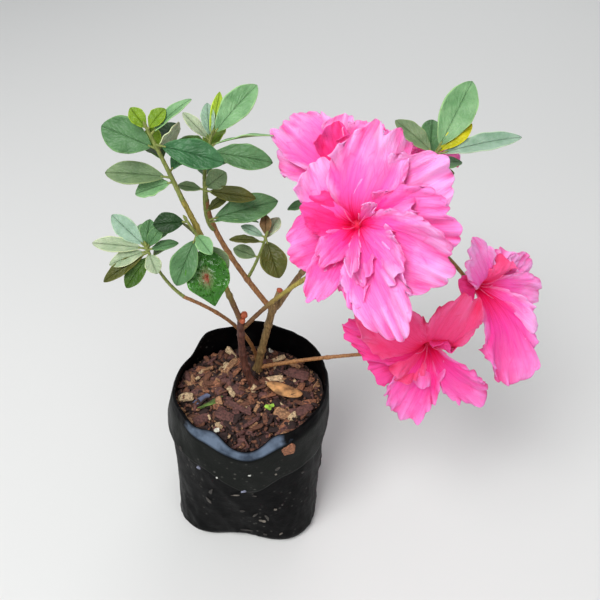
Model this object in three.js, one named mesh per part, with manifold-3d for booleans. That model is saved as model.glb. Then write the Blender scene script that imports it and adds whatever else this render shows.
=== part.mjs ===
// A young azalea in bloom, grown in a black film grow bag.
// Millimetres, +Z up. The origin is the middle of the bag's flat underside,
// +X is to the right of the side the bag is seen from and +Y is away from it.

import * as THREE from 'three';
import { mergeVertices } from 'three/addons/utils/BufferGeometryUtils.js';
import Module from 'manifold-3d';

const wasm = await Module();
wasm.setup();

// Grow bag: a soft film sleeve with a flat round base and a folded-out collar.
const BAG_RADIUS = 36.5;
const FILM = 0.8;
const BASE_ROUND = 3.5;
const BASE_CORNER = 4.2;
const BASE_CORNER_TURN = -52;
const BASE_CORNER_HEIGHT = 50;
const WALL_LEVELS = [16, 32];
const LEAN_START = 56;
const COLLAR_STAND = 0.9;
const BAG_SIDES = 36;
// The mouth, by angle round the bag: height of the rim, reach from the middle,
// how far the film is folded out there, from 0 (stands up) to 1 (folded), and
// how far down the outside the folded film hangs.
const MOUTH = [
  { angle: -86, height: 68, reach: 36.6, fold: 1, drop: 24.5 },
  { angle: -62, height: 72.5, reach: 36.4, fold: 1, drop: 22 },
  { angle: -38, height: 73.5, reach: 36.2, fold: 1, drop: 23 },
  { angle: -12, height: 71.5, reach: 35.8, fold: 0.8, drop: 15 },
  { angle: 14, height: 74.5, reach: 36.2, fold: 0.3, drop: 5 },
  { angle: 34, height: 77, reach: 36.4, fold: 0, drop: 2 },
  { angle: 64, height: 76.5, reach: 36.2, fold: 0, drop: 2 },
  { angle: 86, height: 78.4, reach: 36.4, fold: 0, drop: 2 },
  { angle: 103, height: 75.8, reach: 36, fold: 0, drop: 2 },
  { angle: 123, height: 76.8, reach: 36.2, fold: 0, drop: 2 },
  { angle: 146, height: 69.5, reach: 34.6, fold: 0.2, drop: 4 },
  { angle: 178, height: 70.5, reach: 33.2, fold: 0.8, drop: 12 },
  { angle: 214, height: 74, reach: 33.2, fold: 1, drop: 17 },
  { angle: 240, height: 73, reach: 34.6, fold: 1, drop: 17 },
];

// Potting mix: bark chips and grit, a little higher at the front than at the back.
const MIX_GAP = 0.3;
const MIX_SIDE_GAP = 0.7;
const MIX_EDGE = 60;
const MIX_LEVEL = 65;
const MIX_SLOPE = 0.085;
const MIX_LUMP = 1.1;
const MIX_RINGS = 6;
const CHIP_COUNT = 18;
const CHIP_SEED = 41;
const CHIP_REACH = 26;
const FOOT_PAD = 1.2;

// Gap kept where a limb meets what carries it.
const JOINT_GAP = 0.3;

// Limbs: the point each bends towards, where it ends and its radius at both ends.
// A stem starts from a point on the mix and flare widens its foot. A bough is
// seated on another limb, at a share of that limb's length (1 is its tip).
const LIMBS = {
  main_stem: {
    from: [3.4, 6, 64.4], bend: [-3.6, 7.4, 75], to: [-1.6, 8, 103.4], girth: [1.85, 1.6], flare: 1.2,
  },
  right_stem: {
    from: [3.2, 16.6, 63.5], bend: [7.6, 14.5, 87], to: [13, 12, 110.5], girth: [1.95, 1.7], flare: 1.2,
  },
  thin_stem: {
    from: [3.4, 23, 63.1], bend: [2, 18, 93], to: [-22.9, 2, 121.6], girth: [1, 0.8], flare: 0.4,
  },
  low_bough: { on: 'right_stem', at: 0.07, bend: [30, 12, 77.5], to: [54, 3.4, 88.2], girth: [1.05, 0.85] },
  left_bough: { on: 'main_stem', at: 1, bend: [-12.2, 9, 141], to: [-19.6, 6, 164.7], girth: [1.35, 1.1] },
  centre_bough: { on: 'right_stem', at: 0.9, bend: [-13.4, 18, 142], to: [-13, 20, 156], girth: [1.3, 1.05] },
  bloom_bough: { on: 'main_stem', at: 0.86, bend: [14, 4.5, 121], to: [33, 2.6, 136], girth: [1.1, 0.95] },
  right_bough: { on: 'right_stem', at: 0.8, bend: [34, 20, 140], to: [55, 22, 153], girth: [1.35, 1.1] },
};
const OLIVE_LIMBS = ['right_stem', 'left_bough', 'bloom_bough', 'right_bough'];
const LIMB_STEPS = 8;
const LIMB_SIDES = 8;
const FLARE_HEIGHT = 6;

// Leaves: blade thickness at the midrib, the share of the length that is stalk,
// and the shares of the length at which the blade has a cross-section.
const LEAF_THICK = 0.6;
const LEAF_STALK = 0.1;
const STALK_RADIUS = 0.45;
const LEAF_STATIONS = [0.06, 0.3, 0.6, 0.86];
const TWIG_STEPS = 5;
const TWIG_SIDES = 5;

// Shoots: each mass of foliage has a twig, seated as a bough is, and its leaves.
// A leaf is [place along the twig, turn, rise, length, width, tilt]: turn and
// rise are its heading in degrees, and tilt leans its face to the front.
const SHOOTS = {
  foliage_top_left: {
    twig: { on: 'left_bough', at: 1, bend: [-23.5, 5, 179], to: [-29, 6, 194], girth: [1, 0.6] },
    leaves: [
      [0.72, 166, 18, 21.5, 13, 55],
      [0.33, 177, 4, 24.5, 9, 40],
      [0.27, -172, -14, 15, 8, 30],
      [0.97, 145, 42, 9.5, 5.5, 45],
      [0.97, 28, 42, 9.5, 5.5, 40],
      [0.66, 120, 40, 11, 6, 40],
      [0.74, 31, 36, 12, 7.5, 130],
      [0.9, 21, 36, 19, 4.8, 20],
      [0.78, -9, -11, 25, 10.4, 48],
      [0.7, 75, 12, 17, 8, 10],
      [0.55, 115, 2, 19, 8.5, 5],
      [0.4, 60, 18, 15, 7, 15],
    ],
  },
  foliage_top_centre: {
    twig: { on: 'centre_bough', at: 1, bend: [-14, 20, 171], to: [-8.6, 20.4, 184.5], girth: [0.95, 0.55] },
    leaves: [
      [0.96, 36, 36, 26, 10.6, 50],
      [0.9, 72, 49, 19, 4.4, 110],
      [0.92, 98, 50, 14, 5.4, 50],
      [0.9, 150, 38, 14.5, 4.6, 35],
      [0.8, 170, 12, 12, 3.8, 20],
      [0.82, 7, 9, 25, 5.5, -25],
      [0.74, -5, -7, 25, 9.6, 45],
      [0.7, 78, 16, 19, 8.5, 10],
      [0.6, 120, 8, 20, 8.5, 5],
      [0.5, 35, 2, 17, 7.5, 15],
      [0.35, 95, -6, 18, 8, 0],
    ],
  },
  foliage_centre: {
    twig: { on: 'centre_bough', at: 0.74, bend: [-14, 12, 152], to: [-12.6, 15, 165.4], girth: [0.75, 0.5] },
    leaves: [
      [0.97, 21, 30, 10.5, 8, 55],
      [0.93, -5, -6, 20, 6.4, 45],
      [0.95, 172, 7, 10.5, 4, 30],
      [0.3, 11, 12, 29, 11.4, 45],
      [0.25, 4, 0, 20, 6.4, -10],
      [0.5, 25, 27, 11, 4, 30],
    ],
  },
  foliage_low_centre: {
    twig: { on: 'left_bough', at: 0.58, bend: [-13.6, 2.4, 148], to: [-18.4, 2, 159], girth: [0.75, 0.5] },
    leaves: [
      [0.95, -177, -3, 13, 8, 45],
      [0.35, 168, 44, 17, 5, -30],
      [0.55, -128, -50, 21, 10.4, 50],
      [0.3, -72, -52, 25, 17, 50],
      [0.25, -24, -42, 14, 8, 40],
      [0.6, -55, -12, 12, 6, 30],
    ],
  },
  foliage_left: {
    twig: { on: 'thin_stem', at: 1, bend: [-31.5, 0.8, 131], to: [-34.6, 0, 148.6], girth: [0.75, 0.5] },
    leaves: [
      [0.97, 150, 32, 18.5, 7.8, 50],
      [0.97, 81, 50, 11, 6.4, 50],
      [0.97, 30, 46, 10.5, 5.2, 45],
      [0.95, 176, 5, 21.5, 6, 40],
      [0.92, -167, -15, 16, 5.8, 40],
      [0.9, -158, -25, 21, 5.6, 35],
      [0.92, -140, -38, 16, 7.6, 50],
      [0.9, -59, -46, 9, 6.4, 50],
      [0.93, 9, 11, 12, 4.4, 25],
      [0.95, 48, 24, 14, 5, 15],
      [0.88, 110, 12, 17, 6.5, 10],
      [0.8, 65, -4, 15, 6, 5],
    ],
  },
  foliage_right_of_stem: {
    twig: { on: 'centre_bough', at: 0.28, bend: [7.4, 12.4, 134], to: [10.6, 12.4, 145], girth: [0.75, 0.5] },
    leaves: [
      [0.97, 92, 50, 9, 4.6, 40],
      [0.95, 162, 20, 11, 4, 30],
      [0.85, -179, 8, 14, 4, 15],
      [0.95, -62, -46, 17, 10.6, 50],
      [0.5, 165, 14, 11, 6, 40],
      [0.9, 60, 24, 12, 6, 10],
    ],
  },
  foliage_right: {
    twig: { on: 'right_bough', at: 1, bend: [66, 23, 160], to: [76.4, 23.6, 176], girth: [1, 0.6] },
    leaves: [
      [0.97, 50, 45, 31, 13.4, 50],
      [0.97, 26, 30, 18, 6.6, 45],
      [0.93, 8, 10, 35, 7.6, 35],
      [0.95, 36, 18, 14, 5, 10],
      [0.95, 150, 31, 20, 8, 40],
      [0.5, -4, -12, 14, 4.4, 20],
      [0.85, 80, 22, 22, 9, 10],
      [0.72, 24, -2, 19, 7.5, 15],
      [0.6, -12, 12, 15, 6, 20],
    ],
  },
  foliage_back: {
    twig: { on: 'right_bough', at: 0.5, bend: [31, 32, 146], to: [34, 37, 158], girth: [0.9, 0.55] },
    leaves: [
      [0.97, 100, 30, 18, 8, 10],
      [0.97, 20, 34, 15, 7, 20],
      [0.95, 160, 22, 17, 7.5, 20],
      [0.9, 55, 6, 20, 8.5, 5],
      [0.85, 130, -2, 19, 8, 0],
      [0.6, 15, -6, 17, 7.5, 10],
      [0.6, 175, -12, 14, 7, 10],
      [0.45, 90, -14, 17, 7.5, 0],
    ],
  },
};

// Blooms: the throat, the way it faces, the flower stalk and its petals. A petal
// is [angle round the axis, how far it opens, length, width, ruffle].
const BLOOM_SEED = 7;
const STALK_GIRTH = [0.95, 0.8];
const TUBE_LENGTH = 9;
const TUBE_RADIUS = [1.4, 4.2];
const TUBE_SIDES = 10;
const PETAL_THICK = 0.6;
const PETAL_START = 14;
const PETAL_ACROSS = 3;
const PETAL_ALONG = 3;
const PETAL_ROOT = 0.14;
const BLOOMS = {
  bloom_main: {
    throat: [43.5, -13, 166.5], turn: -112, rise: 30,
    stalk: { on: 'bloom_bough', at: 1, bend: [40, 3, 148] },
    petals: [
      [12, 86, 38, 26, 2.6],
      [40, 98, 39, 26, 2.8],
      [128, 84, 25, 24, 2.4],
      [214, 84, 25, 22, 2.4],
      [256, 80, 32, 13, 2],
      [288, 74, 31, 14, 2.8],
      [310, 82, 45, 21, 2.4],
      [348, 88, 41, 25, 2.6],
      [80, 76, 37, 25, 3.4],
      [28, 66, 26, 16, 3],
      [168, 58, 20, 15, 2.4],
      [246, 50, 20, 12, 2],
      [304, 54, 24, 13, 2.6],
      [328, 62, 31, 20, 3.2],
      [294, 44, 25, 5, 2],
      [50, 40, 19, 4.6, 1.8],
    ],
  },
  bloom_top: {
    throat: [41, 14, 170.5], turn: -128, rise: 50,
    stalk: { on: 'right_bough', at: 0.88, bend: [47, 20.4, 161] },
    petals: [
      [160, 88, 34, 22, 2.6],
      [186, 84, 27, 20, 2.2],
      [104, 76, 21, 20, 2.6],
      [64, 74, 22, 20, 2.6],
      [28, 84, 26, 20, 2.4],
      [126, 50, 19, 14, 3],
      [80, 48, 16, 12, 2.6],
    ],
  },
  bloom_low: {
    throat: [77.5, -7, 103], turn: -96, rise: 6,
    stalk: { on: 'low_bough', at: 1, bend: [64, 3, 92] },
    petals: [
      [72, 84, 38, 20, 2.2],
      [140, 92, 42, 20, 2.2],
      [158, 94, 40, 20, 2.4],
      [196, 86, 26, 18, 2.4],
      [251, 86, 35, 21, 2.6],
      [323, 84, 34, 16, 2.6],
      [48, 44, 14, 12, 2.4],
      [210, 52, 20, 14, 2.4],
      [268, 46, 17, 14, 2.4],
    ],
  },
  bloom_right: {
    throat: [96.5, 1, 128], turn: -62, rise: 14,
    stalk: { on: 'right_bough', at: 0.93, bend: [74, 15, 148] },
    petals: [
      [116, 84, 29, 14, 2],
      [48, 80, 18, 16, 2.4],
      [14, 80, 22, 21, 2.4],
      [338, 78, 25, 20, 2.6],
      [278, 84, 44, 21, 2.6],
      [62, 50, 16, 14, 2.6],
      [304, 64, 28, 15, 2.8],
      [150, 70, 16, 14, 2],
    ],
  },
  bloom_back: {
    throat: [63, 42, 155], turn: 68, rise: 26,
    stalk: { on: 'right_bough', at: 0.8, bend: [54, 32, 152] },
    petals: [
      [92, 76, 18, 20, 2.4],
      [164, 84, 27, 22, 2.4],
      [236, 84, 29, 23, 2.6],
      [308, 84, 29, 23, 2.4],
      [20, 82, 26, 22, 2.6],
      [60, 54, 19, 14, 2.8],
      [200, 54, 20, 14, 2.4],
    ],
  },
};

const FINISH = {
  film: { color: 0x17181a, roughness: 0.42, metalness: 0 },
  mix: { color: 0x4a3026, roughness: 0.95, metalness: 0 },
  dark_bark: { color: 0x57352a, roughness: 0.85, metalness: 0 },
  olive_bark: { color: 0x7d6240, roughness: 0.8, metalness: 0 },
  leaf: { color: 0x4f8a5c, roughness: 0.5, metalness: 0 },
  petal: { color: 0xf552ad, roughness: 0.6, metalness: 0 },
};

const group = new THREE.Group();
const DEGREE = Math.PI / 180;
const UP = new THREE.Vector3(0, 0, 1);

function place(name, geometry, finish) {
  const mesh = new THREE.Mesh(geometry, new THREE.MeshStandardMaterial(FINISH[finish]));
  mesh.name = name;
  group.add(mesh);
}

function seeded(seed) {
  let state = seed >>> 0;
  return () => {
    state = (state + 0x6d2b79f5) >>> 0;
    let mix = state;
    mix = Math.imul(mix ^ (mix >>> 15), mix | 1);
    mix ^= mix + Math.imul(mix ^ (mix >>> 7), mix | 61);
    return ((mix ^ (mix >>> 14)) >>> 0) / 4294967296;
  };
}

function vec(list) {
  return new THREE.Vector3(list[0], list[1], list[2]);
}

function heading(turn, rise) {
  const flat = Math.cos(rise * DEGREE);
  return new THREE.Vector3(
    flat * Math.cos(turn * DEGREE),
    flat * Math.sin(turn * DEGREE),
    Math.sin(rise * DEGREE),
  );
}

function mixed(a, b, share) {
  return a + (b - a) * share;
}

// Closed geometry from indexed faces, turned to face outwards.
function closed(points, faces) {
  const flat = new Float32Array(points.length * 3);
  points.forEach((point, i) => flat.set([point.x, point.y, point.z], i * 3));
  let volume = 0;
  for (const [a, b, c] of faces) {
    volume += points[a].dot(points[b].clone().cross(points[c]));
  }
  const index = faces.flatMap(([a, b, c]) => (volume < 0 ? [a, c, b] : [a, b, c]));
  const geometry = new THREE.BufferGeometry();
  geometry.setAttribute('position', new THREE.BufferAttribute(flat, 3));
  geometry.setIndex(index);
  return geometry;
}

// Rings of equal count joined one to the next, closed by a fan at either end.
// A ring with a single point is a tip or the middle of a flat end.
function loft(rings) {
  const points = [];
  const starts = rings.map((ring) => {
    const start = points.length;
    points.push(...ring);
    return start;
  });
  const faces = [];
  for (let k = 0; k + 1 < rings.length; k += 1) {
    const low = rings[k];
    const high = rings[k + 1];
    const count = Math.max(low.length, high.length);
    for (let i = 0; i < count; i += 1) {
      const j = (i + 1) % count;
      const a = starts[k] + (low.length > 1 ? i : 0);
      const b = starts[k] + (low.length > 1 ? j : 0);
      const c = starts[k + 1] + (high.length > 1 ? i : 0);
      const d = starts[k + 1] + (high.length > 1 ? j : 0);
      if (a !== b) faces.push([a, b, d]);
      if (c !== d) faces.push([a, d, c]);
    }
  }
  return closed(points, faces);
}

function solid(geometry) {
  const bare = geometry.clone();
  bare.deleteAttribute('normal');
  bare.deleteAttribute('uv');
  const merged = mergeVertices(bare, 1e-5);
  return new wasm.Manifold(new wasm.Mesh({
    numProp: 3,
    vertProperties: Float32Array.from(merged.attributes.position.array),
    triVerts: Uint32Array.from(merged.index.array),
  }));
}

function shell(body) {
  const mesh = body.getMesh();
  const geometry = new THREE.BufferGeometry();
  geometry.setAttribute('position', new THREE.BufferAttribute(mesh.vertProperties, 3));
  geometry.setIndex(Array.from(mesh.triVerts));
  return geometry;
}

// The outer skin of a fused body: a hollow that the fusing sealed is filled.
function filled(body) {
  const skins = body.decompose();
  return skins.reduce((best, skin) => (skin.volume() > best.volume() ? skin : best));
}

// The curve of a limb or twig. A seated one starts JOINT_GAP clear of its
// carrier: past its flat tip, or out of its side along the way it grows.
function growth({ from, on, at, bend, to, girth }) {
  let start = from && vec(from);
  if (on) {
    const carrier = LIMBS[on];
    const curve = growth(carrier);
    const foot = curve.getPointAt(at);
    const out = vec(bend).sub(foot).normalize();
    const lean = curve.getTangentAt(at).angleTo(out);
    const wall = (mixed(carrier.girth[0], carrier.girth[1], at) + flareAt(carrier, curve.getLength() * at))
      * Math.cos(Math.PI / LIMB_SIDES);
    const reach = at === 1
      ? (JOINT_GAP + girth[0] * Math.sin(lean)) / Math.cos(lean)
      : (wall + JOINT_GAP + girth[0] * Math.cos(lean)) / Math.sin(lean);
    start = foot.addScaledVector(out, reach);
  }
  return new THREE.QuadraticBezierCurve3(start, vec(bend), vec(to));
}

// How much a root flare widens a stem at a distance from its foot.
function flareAt({ flare = 0 }, distance) {
  return flare * Math.exp(-3 * (distance / FLARE_HEIGHT) ** 2);
}

function tangentAt(path, i) {
  const before = path[Math.max(i - 1, 0)];
  const after = path[Math.min(i + 1, path.length - 1)];
  return after.clone().sub(before).normalize();
}

// A round tapering limb along a path, with a flat end across either tip.
function limb(path, stem, sides) {
  const rings = [[path[0]]];
  let side = new THREE.Vector3(1, 0, 0);
  path.forEach((middle, i) => {
    const along = stem.flare && i === 0 ? UP.clone() : tangentAt(path, i);
    side = side.sub(along.clone().multiplyScalar(side.dot(along))).normalize();
    const other = along.clone().cross(side);
    const share = i / (path.length - 1);
    const radius = mixed(stem.girth[0], stem.girth[1], share) + flareAt(stem, middle.distanceTo(path[0]));
    rings.push(Array.from({ length: sides }, (_, k) => {
      const angle = (k / sides) * 2 * Math.PI;
      const out = side.clone().multiplyScalar(Math.cos(angle)).addScaledVector(other, Math.sin(angle));
      return middle.clone().addScaledVector(out, radius);
    }));
  });
  rings.push([path[path.length - 1]]);
  return loft(rings);
}

// Half the width of a leaf blade at a share of its length from the stalk.
function bladeHalf(width, share) {
  const t = Math.max((share - LEAF_STALK) / (1 - LEAF_STALK), 0);
  return (width / 2) * Math.sin(Math.PI * t ** 1.1) ** 0.8;
}

// One leaf: a thin blade with a raised midrib that grows from a thin stalk.
function leaf(base, [turn, rise, length, width, tilt]) {
  const along = heading(turn, rise);
  const lean = new THREE.Vector3(0, -Math.sin(tilt * DEGREE), Math.cos(tilt * DEGREE));
  const face = lean.sub(along.clone().multiplyScalar(lean.dot(along))).normalize();
  const side = face.clone().cross(along);
  const droop = length * 0.16;
  const at = (share) => base.clone()
    .addScaledVector(along, length * share)
    .addScaledVector(face, droop * share * (1 - share) * 1.6 - droop * share * 0.2);
  const rings = [[at(0)]];
  for (const share of LEAF_STATIONS) {
    const half = Math.max(bladeHalf(width, share), STALK_RADIUS);
    const thick = share < LEAF_STALK ? STALK_RADIUS : LEAF_THICK / 2;
    const lift = half * 0.22;
    const middle = at(share);
    rings.push([
      middle.clone().addScaledVector(side, half).addScaledVector(face, lift),
      middle.clone().addScaledVector(face, thick),
      middle.clone().addScaledVector(side, -half).addScaledVector(face, lift),
      middle.clone().addScaledVector(face, -thick),
    ]);
  }
  rings.push([at(1)]);
  return loft(rings);
}

// A shoot: a twig with leaves fused on, their roots sunk into it.
function shoot({ twig, leaves }) {
  const curve = growth(twig);
  let body = solid(limb(curve.getSpacedPoints(TWIG_STEPS), twig, TWIG_SIDES));
  for (const [share, ...blade] of leaves) {
    body = body.add(solid(leaf(curve.getPointAt(share), blade)));
  }
  return body;
}

// One petal as a thin sheet: rows from root to lip, columns across. It leaves
// the tube close to the axis and rolls outwards until it is open by its angle.
function petal(frame, [around, open, length, width, ruffle], random) {
  const { throat, axis, right, top } = frame;
  const out = right.clone().multiplyScalar(Math.cos(around * DEGREE))
    .addScaledVector(top, Math.sin(around * DEGREE));
  const across = axis.clone().cross(out);
  const phase = random() * 2 * Math.PI;
  const waves = 1.6 + random() * 0.8;
  const fine = 24;
  const spine = [throat.clone().addScaledVector(axis, -4).addScaledVector(out, 1)];
  for (let i = 0; i < fine; i += 1) {
    const bent = mixed(PETAL_START, open, Math.min(((i + 0.5) / fine) * 1.9, 1) ** 1.2);
    const step = (length + 4) / fine;
    spine.push(spine[i].clone()
      .addScaledVector(axis, Math.cos(bent * DEGREE) * step)
      .addScaledVector(out, Math.sin(bent * DEGREE) * step));
  }
  const curve = new THREE.CatmullRomCurve3(spine);
  const surface = (u, v) => {
    const share = v * (1 - 0.2 * u * u * v);
    const middle = curve.getPointAt(share);
    const along = curve.getTangentAt(share);
    const face = across.clone().cross(along).negate();
    const half = (width / 2) * mixed(PETAL_ROOT, 1, Math.sin(Math.min(v / 0.75, 1) * Math.PI / 2) ** 1.4);
    const wave = ruffle * v * v * Math.sin(u * waves * Math.PI + phase + v * 2) * (0.35 + 0.65 * u * u);
    const cup = width * 0.1 * u * u * v;
    return { point: middle.addScaledVector(across, u * half).addScaledVector(face, wave + cup), face };
  };
  const points = [];
  const faces = [];
  const columns = PETAL_ACROSS + 1;
  for (let row = 0; row <= PETAL_ALONG; row += 1) {
    for (let column = 0; column < columns; column += 1) {
      const { point, face } = surface((column / PETAL_ACROSS) * 2 - 1, row / PETAL_ALONG);
      const half = face.multiplyScalar(PETAL_THICK / 2);
      points.push(point.clone().add(half), point.clone().sub(half));
    }
  }
  const at = (row, column, under) => (row * columns + column) * 2 + under;
  for (let row = 0; row < PETAL_ALONG; row += 1) {
    for (let column = 0; column < PETAL_ACROSS; column += 1) {
      for (const under of [0, 1]) {
        const ring = [at(row, column, under), at(row, column + 1, under),
          at(row + 1, column + 1, under), at(row + 1, column, under)];
        if (under) ring.reverse();
        faces.push([ring[0], ring[1], ring[2]], [ring[0], ring[2], ring[3]]);
      }
    }
  }
  const rim = [];
  for (let column = 0; column < PETAL_ACROSS; column += 1) rim.push([0, column]);
  for (let row = 0; row < PETAL_ALONG; row += 1) rim.push([row, PETAL_ACROSS]);
  for (let column = PETAL_ACROSS; column > 0; column -= 1) rim.push([PETAL_ALONG, column]);
  for (let row = PETAL_ALONG; row > 0; row -= 1) rim.push([row, 0]);
  rim.forEach(([row, column], i) => {
    const [nextRow, nextColumn] = rim[(i + 1) % rim.length];
    const a = at(row, column, 0);
    const b = at(row, column, 1);
    const c = at(nextRow, nextColumn, 1);
    const d = at(nextRow, nextColumn, 0);
    faces.push([a, b, c], [a, c, d]);
  });
  return closed(points, faces);
}

function bloom({ throat, turn, rise, stalk, petals }, seed) {
  const random = seeded(seed);
  const axis = heading(turn, rise);
  const right = UP.clone().cross(axis).normalize();
  const frame = { throat: vec(throat), axis, right, top: axis.clone().cross(right) };
  const heel = frame.throat.clone().addScaledVector(axis, -TUBE_LENGTH);
  const end = heel.clone().addScaledVector(axis, 1).toArray();
  const twig = growth({ ...stalk, to: end, girth: STALK_GIRTH });
  let body = solid(limb(twig.getSpacedPoints(TWIG_STEPS), { girth: STALK_GIRTH }, TWIG_SIDES));
  const tube = [0, 0.35, 1].map((share) => heel.clone().lerp(frame.throat, share));
  body = body.add(solid(limb(tube, { girth: TUBE_RADIUS }, TUBE_SIDES)));
  for (const shape of petals) {
    body = body.add(solid(petal(frame, shape, random)));
  }
  return body;
}

// Value of one field of MOUTH at an angle, eased between its two neighbours.
function mouthAt(angle, field) {
  const turns = MOUTH.length;
  const wrapped = ((angle - MOUTH[0].angle) % 360 + 360) % 360 + MOUTH[0].angle;
  let i = turns - 1;
  while (MOUTH[i].angle > wrapped) i -= 1;
  const here = MOUTH[i];
  const next = MOUTH[(i + 1) % turns];
  const span = ((next.angle - here.angle) + 360) % 360;
  const share = (wrapped - here.angle) / span;
  return mixed(here[field], next[field], share * share * (3 - 2 * share));
}

function ringOf(count, pointAt) {
  return Array.from({ length: count }, (_, i) => {
    const angle = (i / count) * 360;
    const { reach, height } = pointAt(angle);
    return new THREE.Vector3(
      reach * Math.cos(angle * DEGREE),
      reach * Math.sin(angle * DEGREE),
      height,
    );
  });
}

// How far the base is pulled out into four soft corners at a height.
function cornerAt(angle, height) {
  const share = Math.max(1 - height / BASE_CORNER_HEIGHT, 0);
  return BASE_CORNER * share * Math.cos(4 * (angle - BASE_CORNER_TURN) * DEGREE);
}

// How far out the bag's wall is at a height. Its top leans to the mouth's reach.
function wallAt(angle, height) {
  const lean = Math.max(height - LEAN_START, 0) / (mouthAt(angle, 'height') - LEAN_START);
  return mixed(BAG_RADIUS + cornerAt(angle, height), mouthAt(angle, 'reach'), lean);
}

// The bag's wall, from the middle of the underside up the outside, over the rim
// and down the inside to the middle of the floor.
function growBag() {
  const rim = (angle) => mouthAt(angle, 'height');
  const reach = (angle) => mouthAt(angle, 'reach');
  const stand = (angle) => COLLAR_STAND * mouthAt(angle, 'fold');
  const hem = (angle) => rim(angle) - mouthAt(angle, 'drop');
  const under = (angle) => Math.min(hem(angle) - 1.5, LEAN_START);
  const level = (height, inset) => ringOf(BAG_SIDES, (angle) => ({
    reach: wallAt(angle, height) - inset, height,
  }));
  const fold = (out, up) => ringOf(BAG_SIDES, (angle) => ({ reach: out(angle), height: up(angle) }));
  const eased = BASE_ROUND * (1 - Math.SQRT1_2);
  return loft([
    [new THREE.Vector3(0, 0, 0)],
    level(0, BASE_ROUND),
    level(eased, eased),
    level(BASE_ROUND, 0),
    ...WALL_LEVELS.map((height) => level(height, 0)),
    fold((angle) => wallAt(angle, under(angle)), under),
    fold((angle) => wallAt(angle, hem(angle)), hem),
    fold((angle) => wallAt(angle, hem(angle)) + stand(angle), (angle) => hem(angle) - 0.4),
    fold((angle) => reach(angle) + stand(angle), (angle) => rim(angle) - 1),
    fold((angle) => reach(angle) + stand(angle) * 0.4, rim),
    fold((angle) => reach(angle) - FILM, (angle) => rim(angle) - 0.2),
    level(MIX_EDGE, FILM),
    level(BASE_CORNER_HEIGHT, FILM),
    ...WALL_LEVELS.toReversed().map((height) => level(height, FILM)),
    level(BASE_ROUND, FILM),
    level(FILM, BASE_ROUND),
    [new THREE.Vector3(0, 0, FILM)],
  ]);
}

// A flat chip of bark, as a box with its corners pulled about.
function chip(middle, size, turn, tip, random) {
  const geometry = new THREE.BoxGeometry(size[0], size[1], size[2]);
  geometry.deleteAttribute('normal');
  geometry.deleteAttribute('uv');
  const merged = mergeVertices(geometry);
  const position = merged.attributes.position;
  for (let i = 0; i < position.count; i += 1) {
    position.setX(i, position.getX(i) * (0.75 + random() * 0.5));
    position.setY(i, position.getY(i) * (0.7 + random() * 0.6));
  }
  merged.rotateX(tip * DEGREE);
  merged.rotateY(tip * DEGREE * 0.6);
  merged.rotateZ(turn * DEGREE);
  merged.translate(middle.x, middle.y, middle.z);
  return merged;
}

// The filling: a plug that fits the bag, lumpy on top, with chips half sunk in.
function pottingMix() {
  const random = seeded(CHIP_SEED);
  const waves = Array.from({ length: 7 }, () => ({
    turn: random() * 360, rate: 0.12 + random() * 0.3, shift: random() * 7,
  }));
  const feet = Object.values(LIMBS).filter(({ flare }) => flare > 0).map(({ from }) => vec(from));
  const level = (x, y) => {
    const lump = waves.reduce((sum, wave) => {
      const run = x * Math.cos(wave.turn * DEGREE) + y * Math.sin(wave.turn * DEGREE);
      return sum + Math.sin(run * wave.rate + wave.shift) / waves.length;
    }, 0);
    const nearest = Math.min(...feet.map((foot) => Math.hypot(foot.x - x, foot.y - y)));
    const pad = FOOT_PAD * Math.exp(-((nearest / 7) ** 2));
    return MIX_LEVEL - MIX_SLOPE * y + MIX_LUMP * 1.8 * lump + pad;
  };
  const side = (angle, height) => wallAt(angle, height) - FILM - MIX_SIDE_GAP;
  const floor = FILM + MIX_GAP;
  const rings = [[new THREE.Vector3(0, 0, floor)]];
  const inset = [[floor, BASE_ROUND + MIX_GAP], [BASE_ROUND, 0], ...WALL_LEVELS.map((height) => [height, 0]),
    [BASE_CORNER_HEIGHT, 0], [MIX_EDGE - 2, 0]];
  for (const [height, inwards] of inset) {
    rings.push(ringOf(BAG_SIDES, (angle) => ({ reach: side(angle, height) - inwards, height })));
  }
  for (let k = 0; k < MIX_RINGS; k += 1) {
    const share = 1 - k / MIX_RINGS;
    rings.push(ringOf(BAG_SIDES, (angle) => {
      const reach = (side(angle, MIX_LEVEL + 1) - 0.3) * share;
      const x = reach * Math.cos(angle * DEGREE);
      const y = reach * Math.sin(angle * DEGREE);
      return { reach, height: Math.min(level(x, y), mouthAt(angle, 'height') - 2) };
    }));
  }
  rings.push([new THREE.Vector3(0, 0, level(0, 0))]);
  let body = solid(loft(rings));
  for (let i = 0; i < CHIP_COUNT; i += 1) {
    const angle = random() * 2 * Math.PI;
    const reach = CHIP_REACH * Math.sqrt(random());
    const x = reach * Math.cos(angle);
    const y = reach * Math.sin(angle);
    const size = [4 + random() * 6, 2.5 + random() * 3, 1.2 + random()];
    const spot = new THREE.Vector3(x, y, level(x, y) + 0.2);
    const turn = random() * 360;
    const tip = (random() - 0.5) * 40;
    const piece = solid(chip(spot, size, turn, tip, random));
    if (feet.every((foot) => Math.hypot(foot.x - x, foot.y - y) > 8)) body = body.add(piece);
  }
  for (const { from, girth, flare } of Object.values(LIMBS)) {
    if (flare > 0) {
      const pad = new THREE.CylinderGeometry(girth[0] + flare + 0.5, girth[0] + flare + 1, 6, 14);
      pad.rotateX(Math.PI / 2);
      pad.translate(from[0], from[1], from[2] - JOINT_GAP + 3);
      body = body.subtract(solid(pad));
    }
  }
  return shell(filled(body));
}

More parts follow.
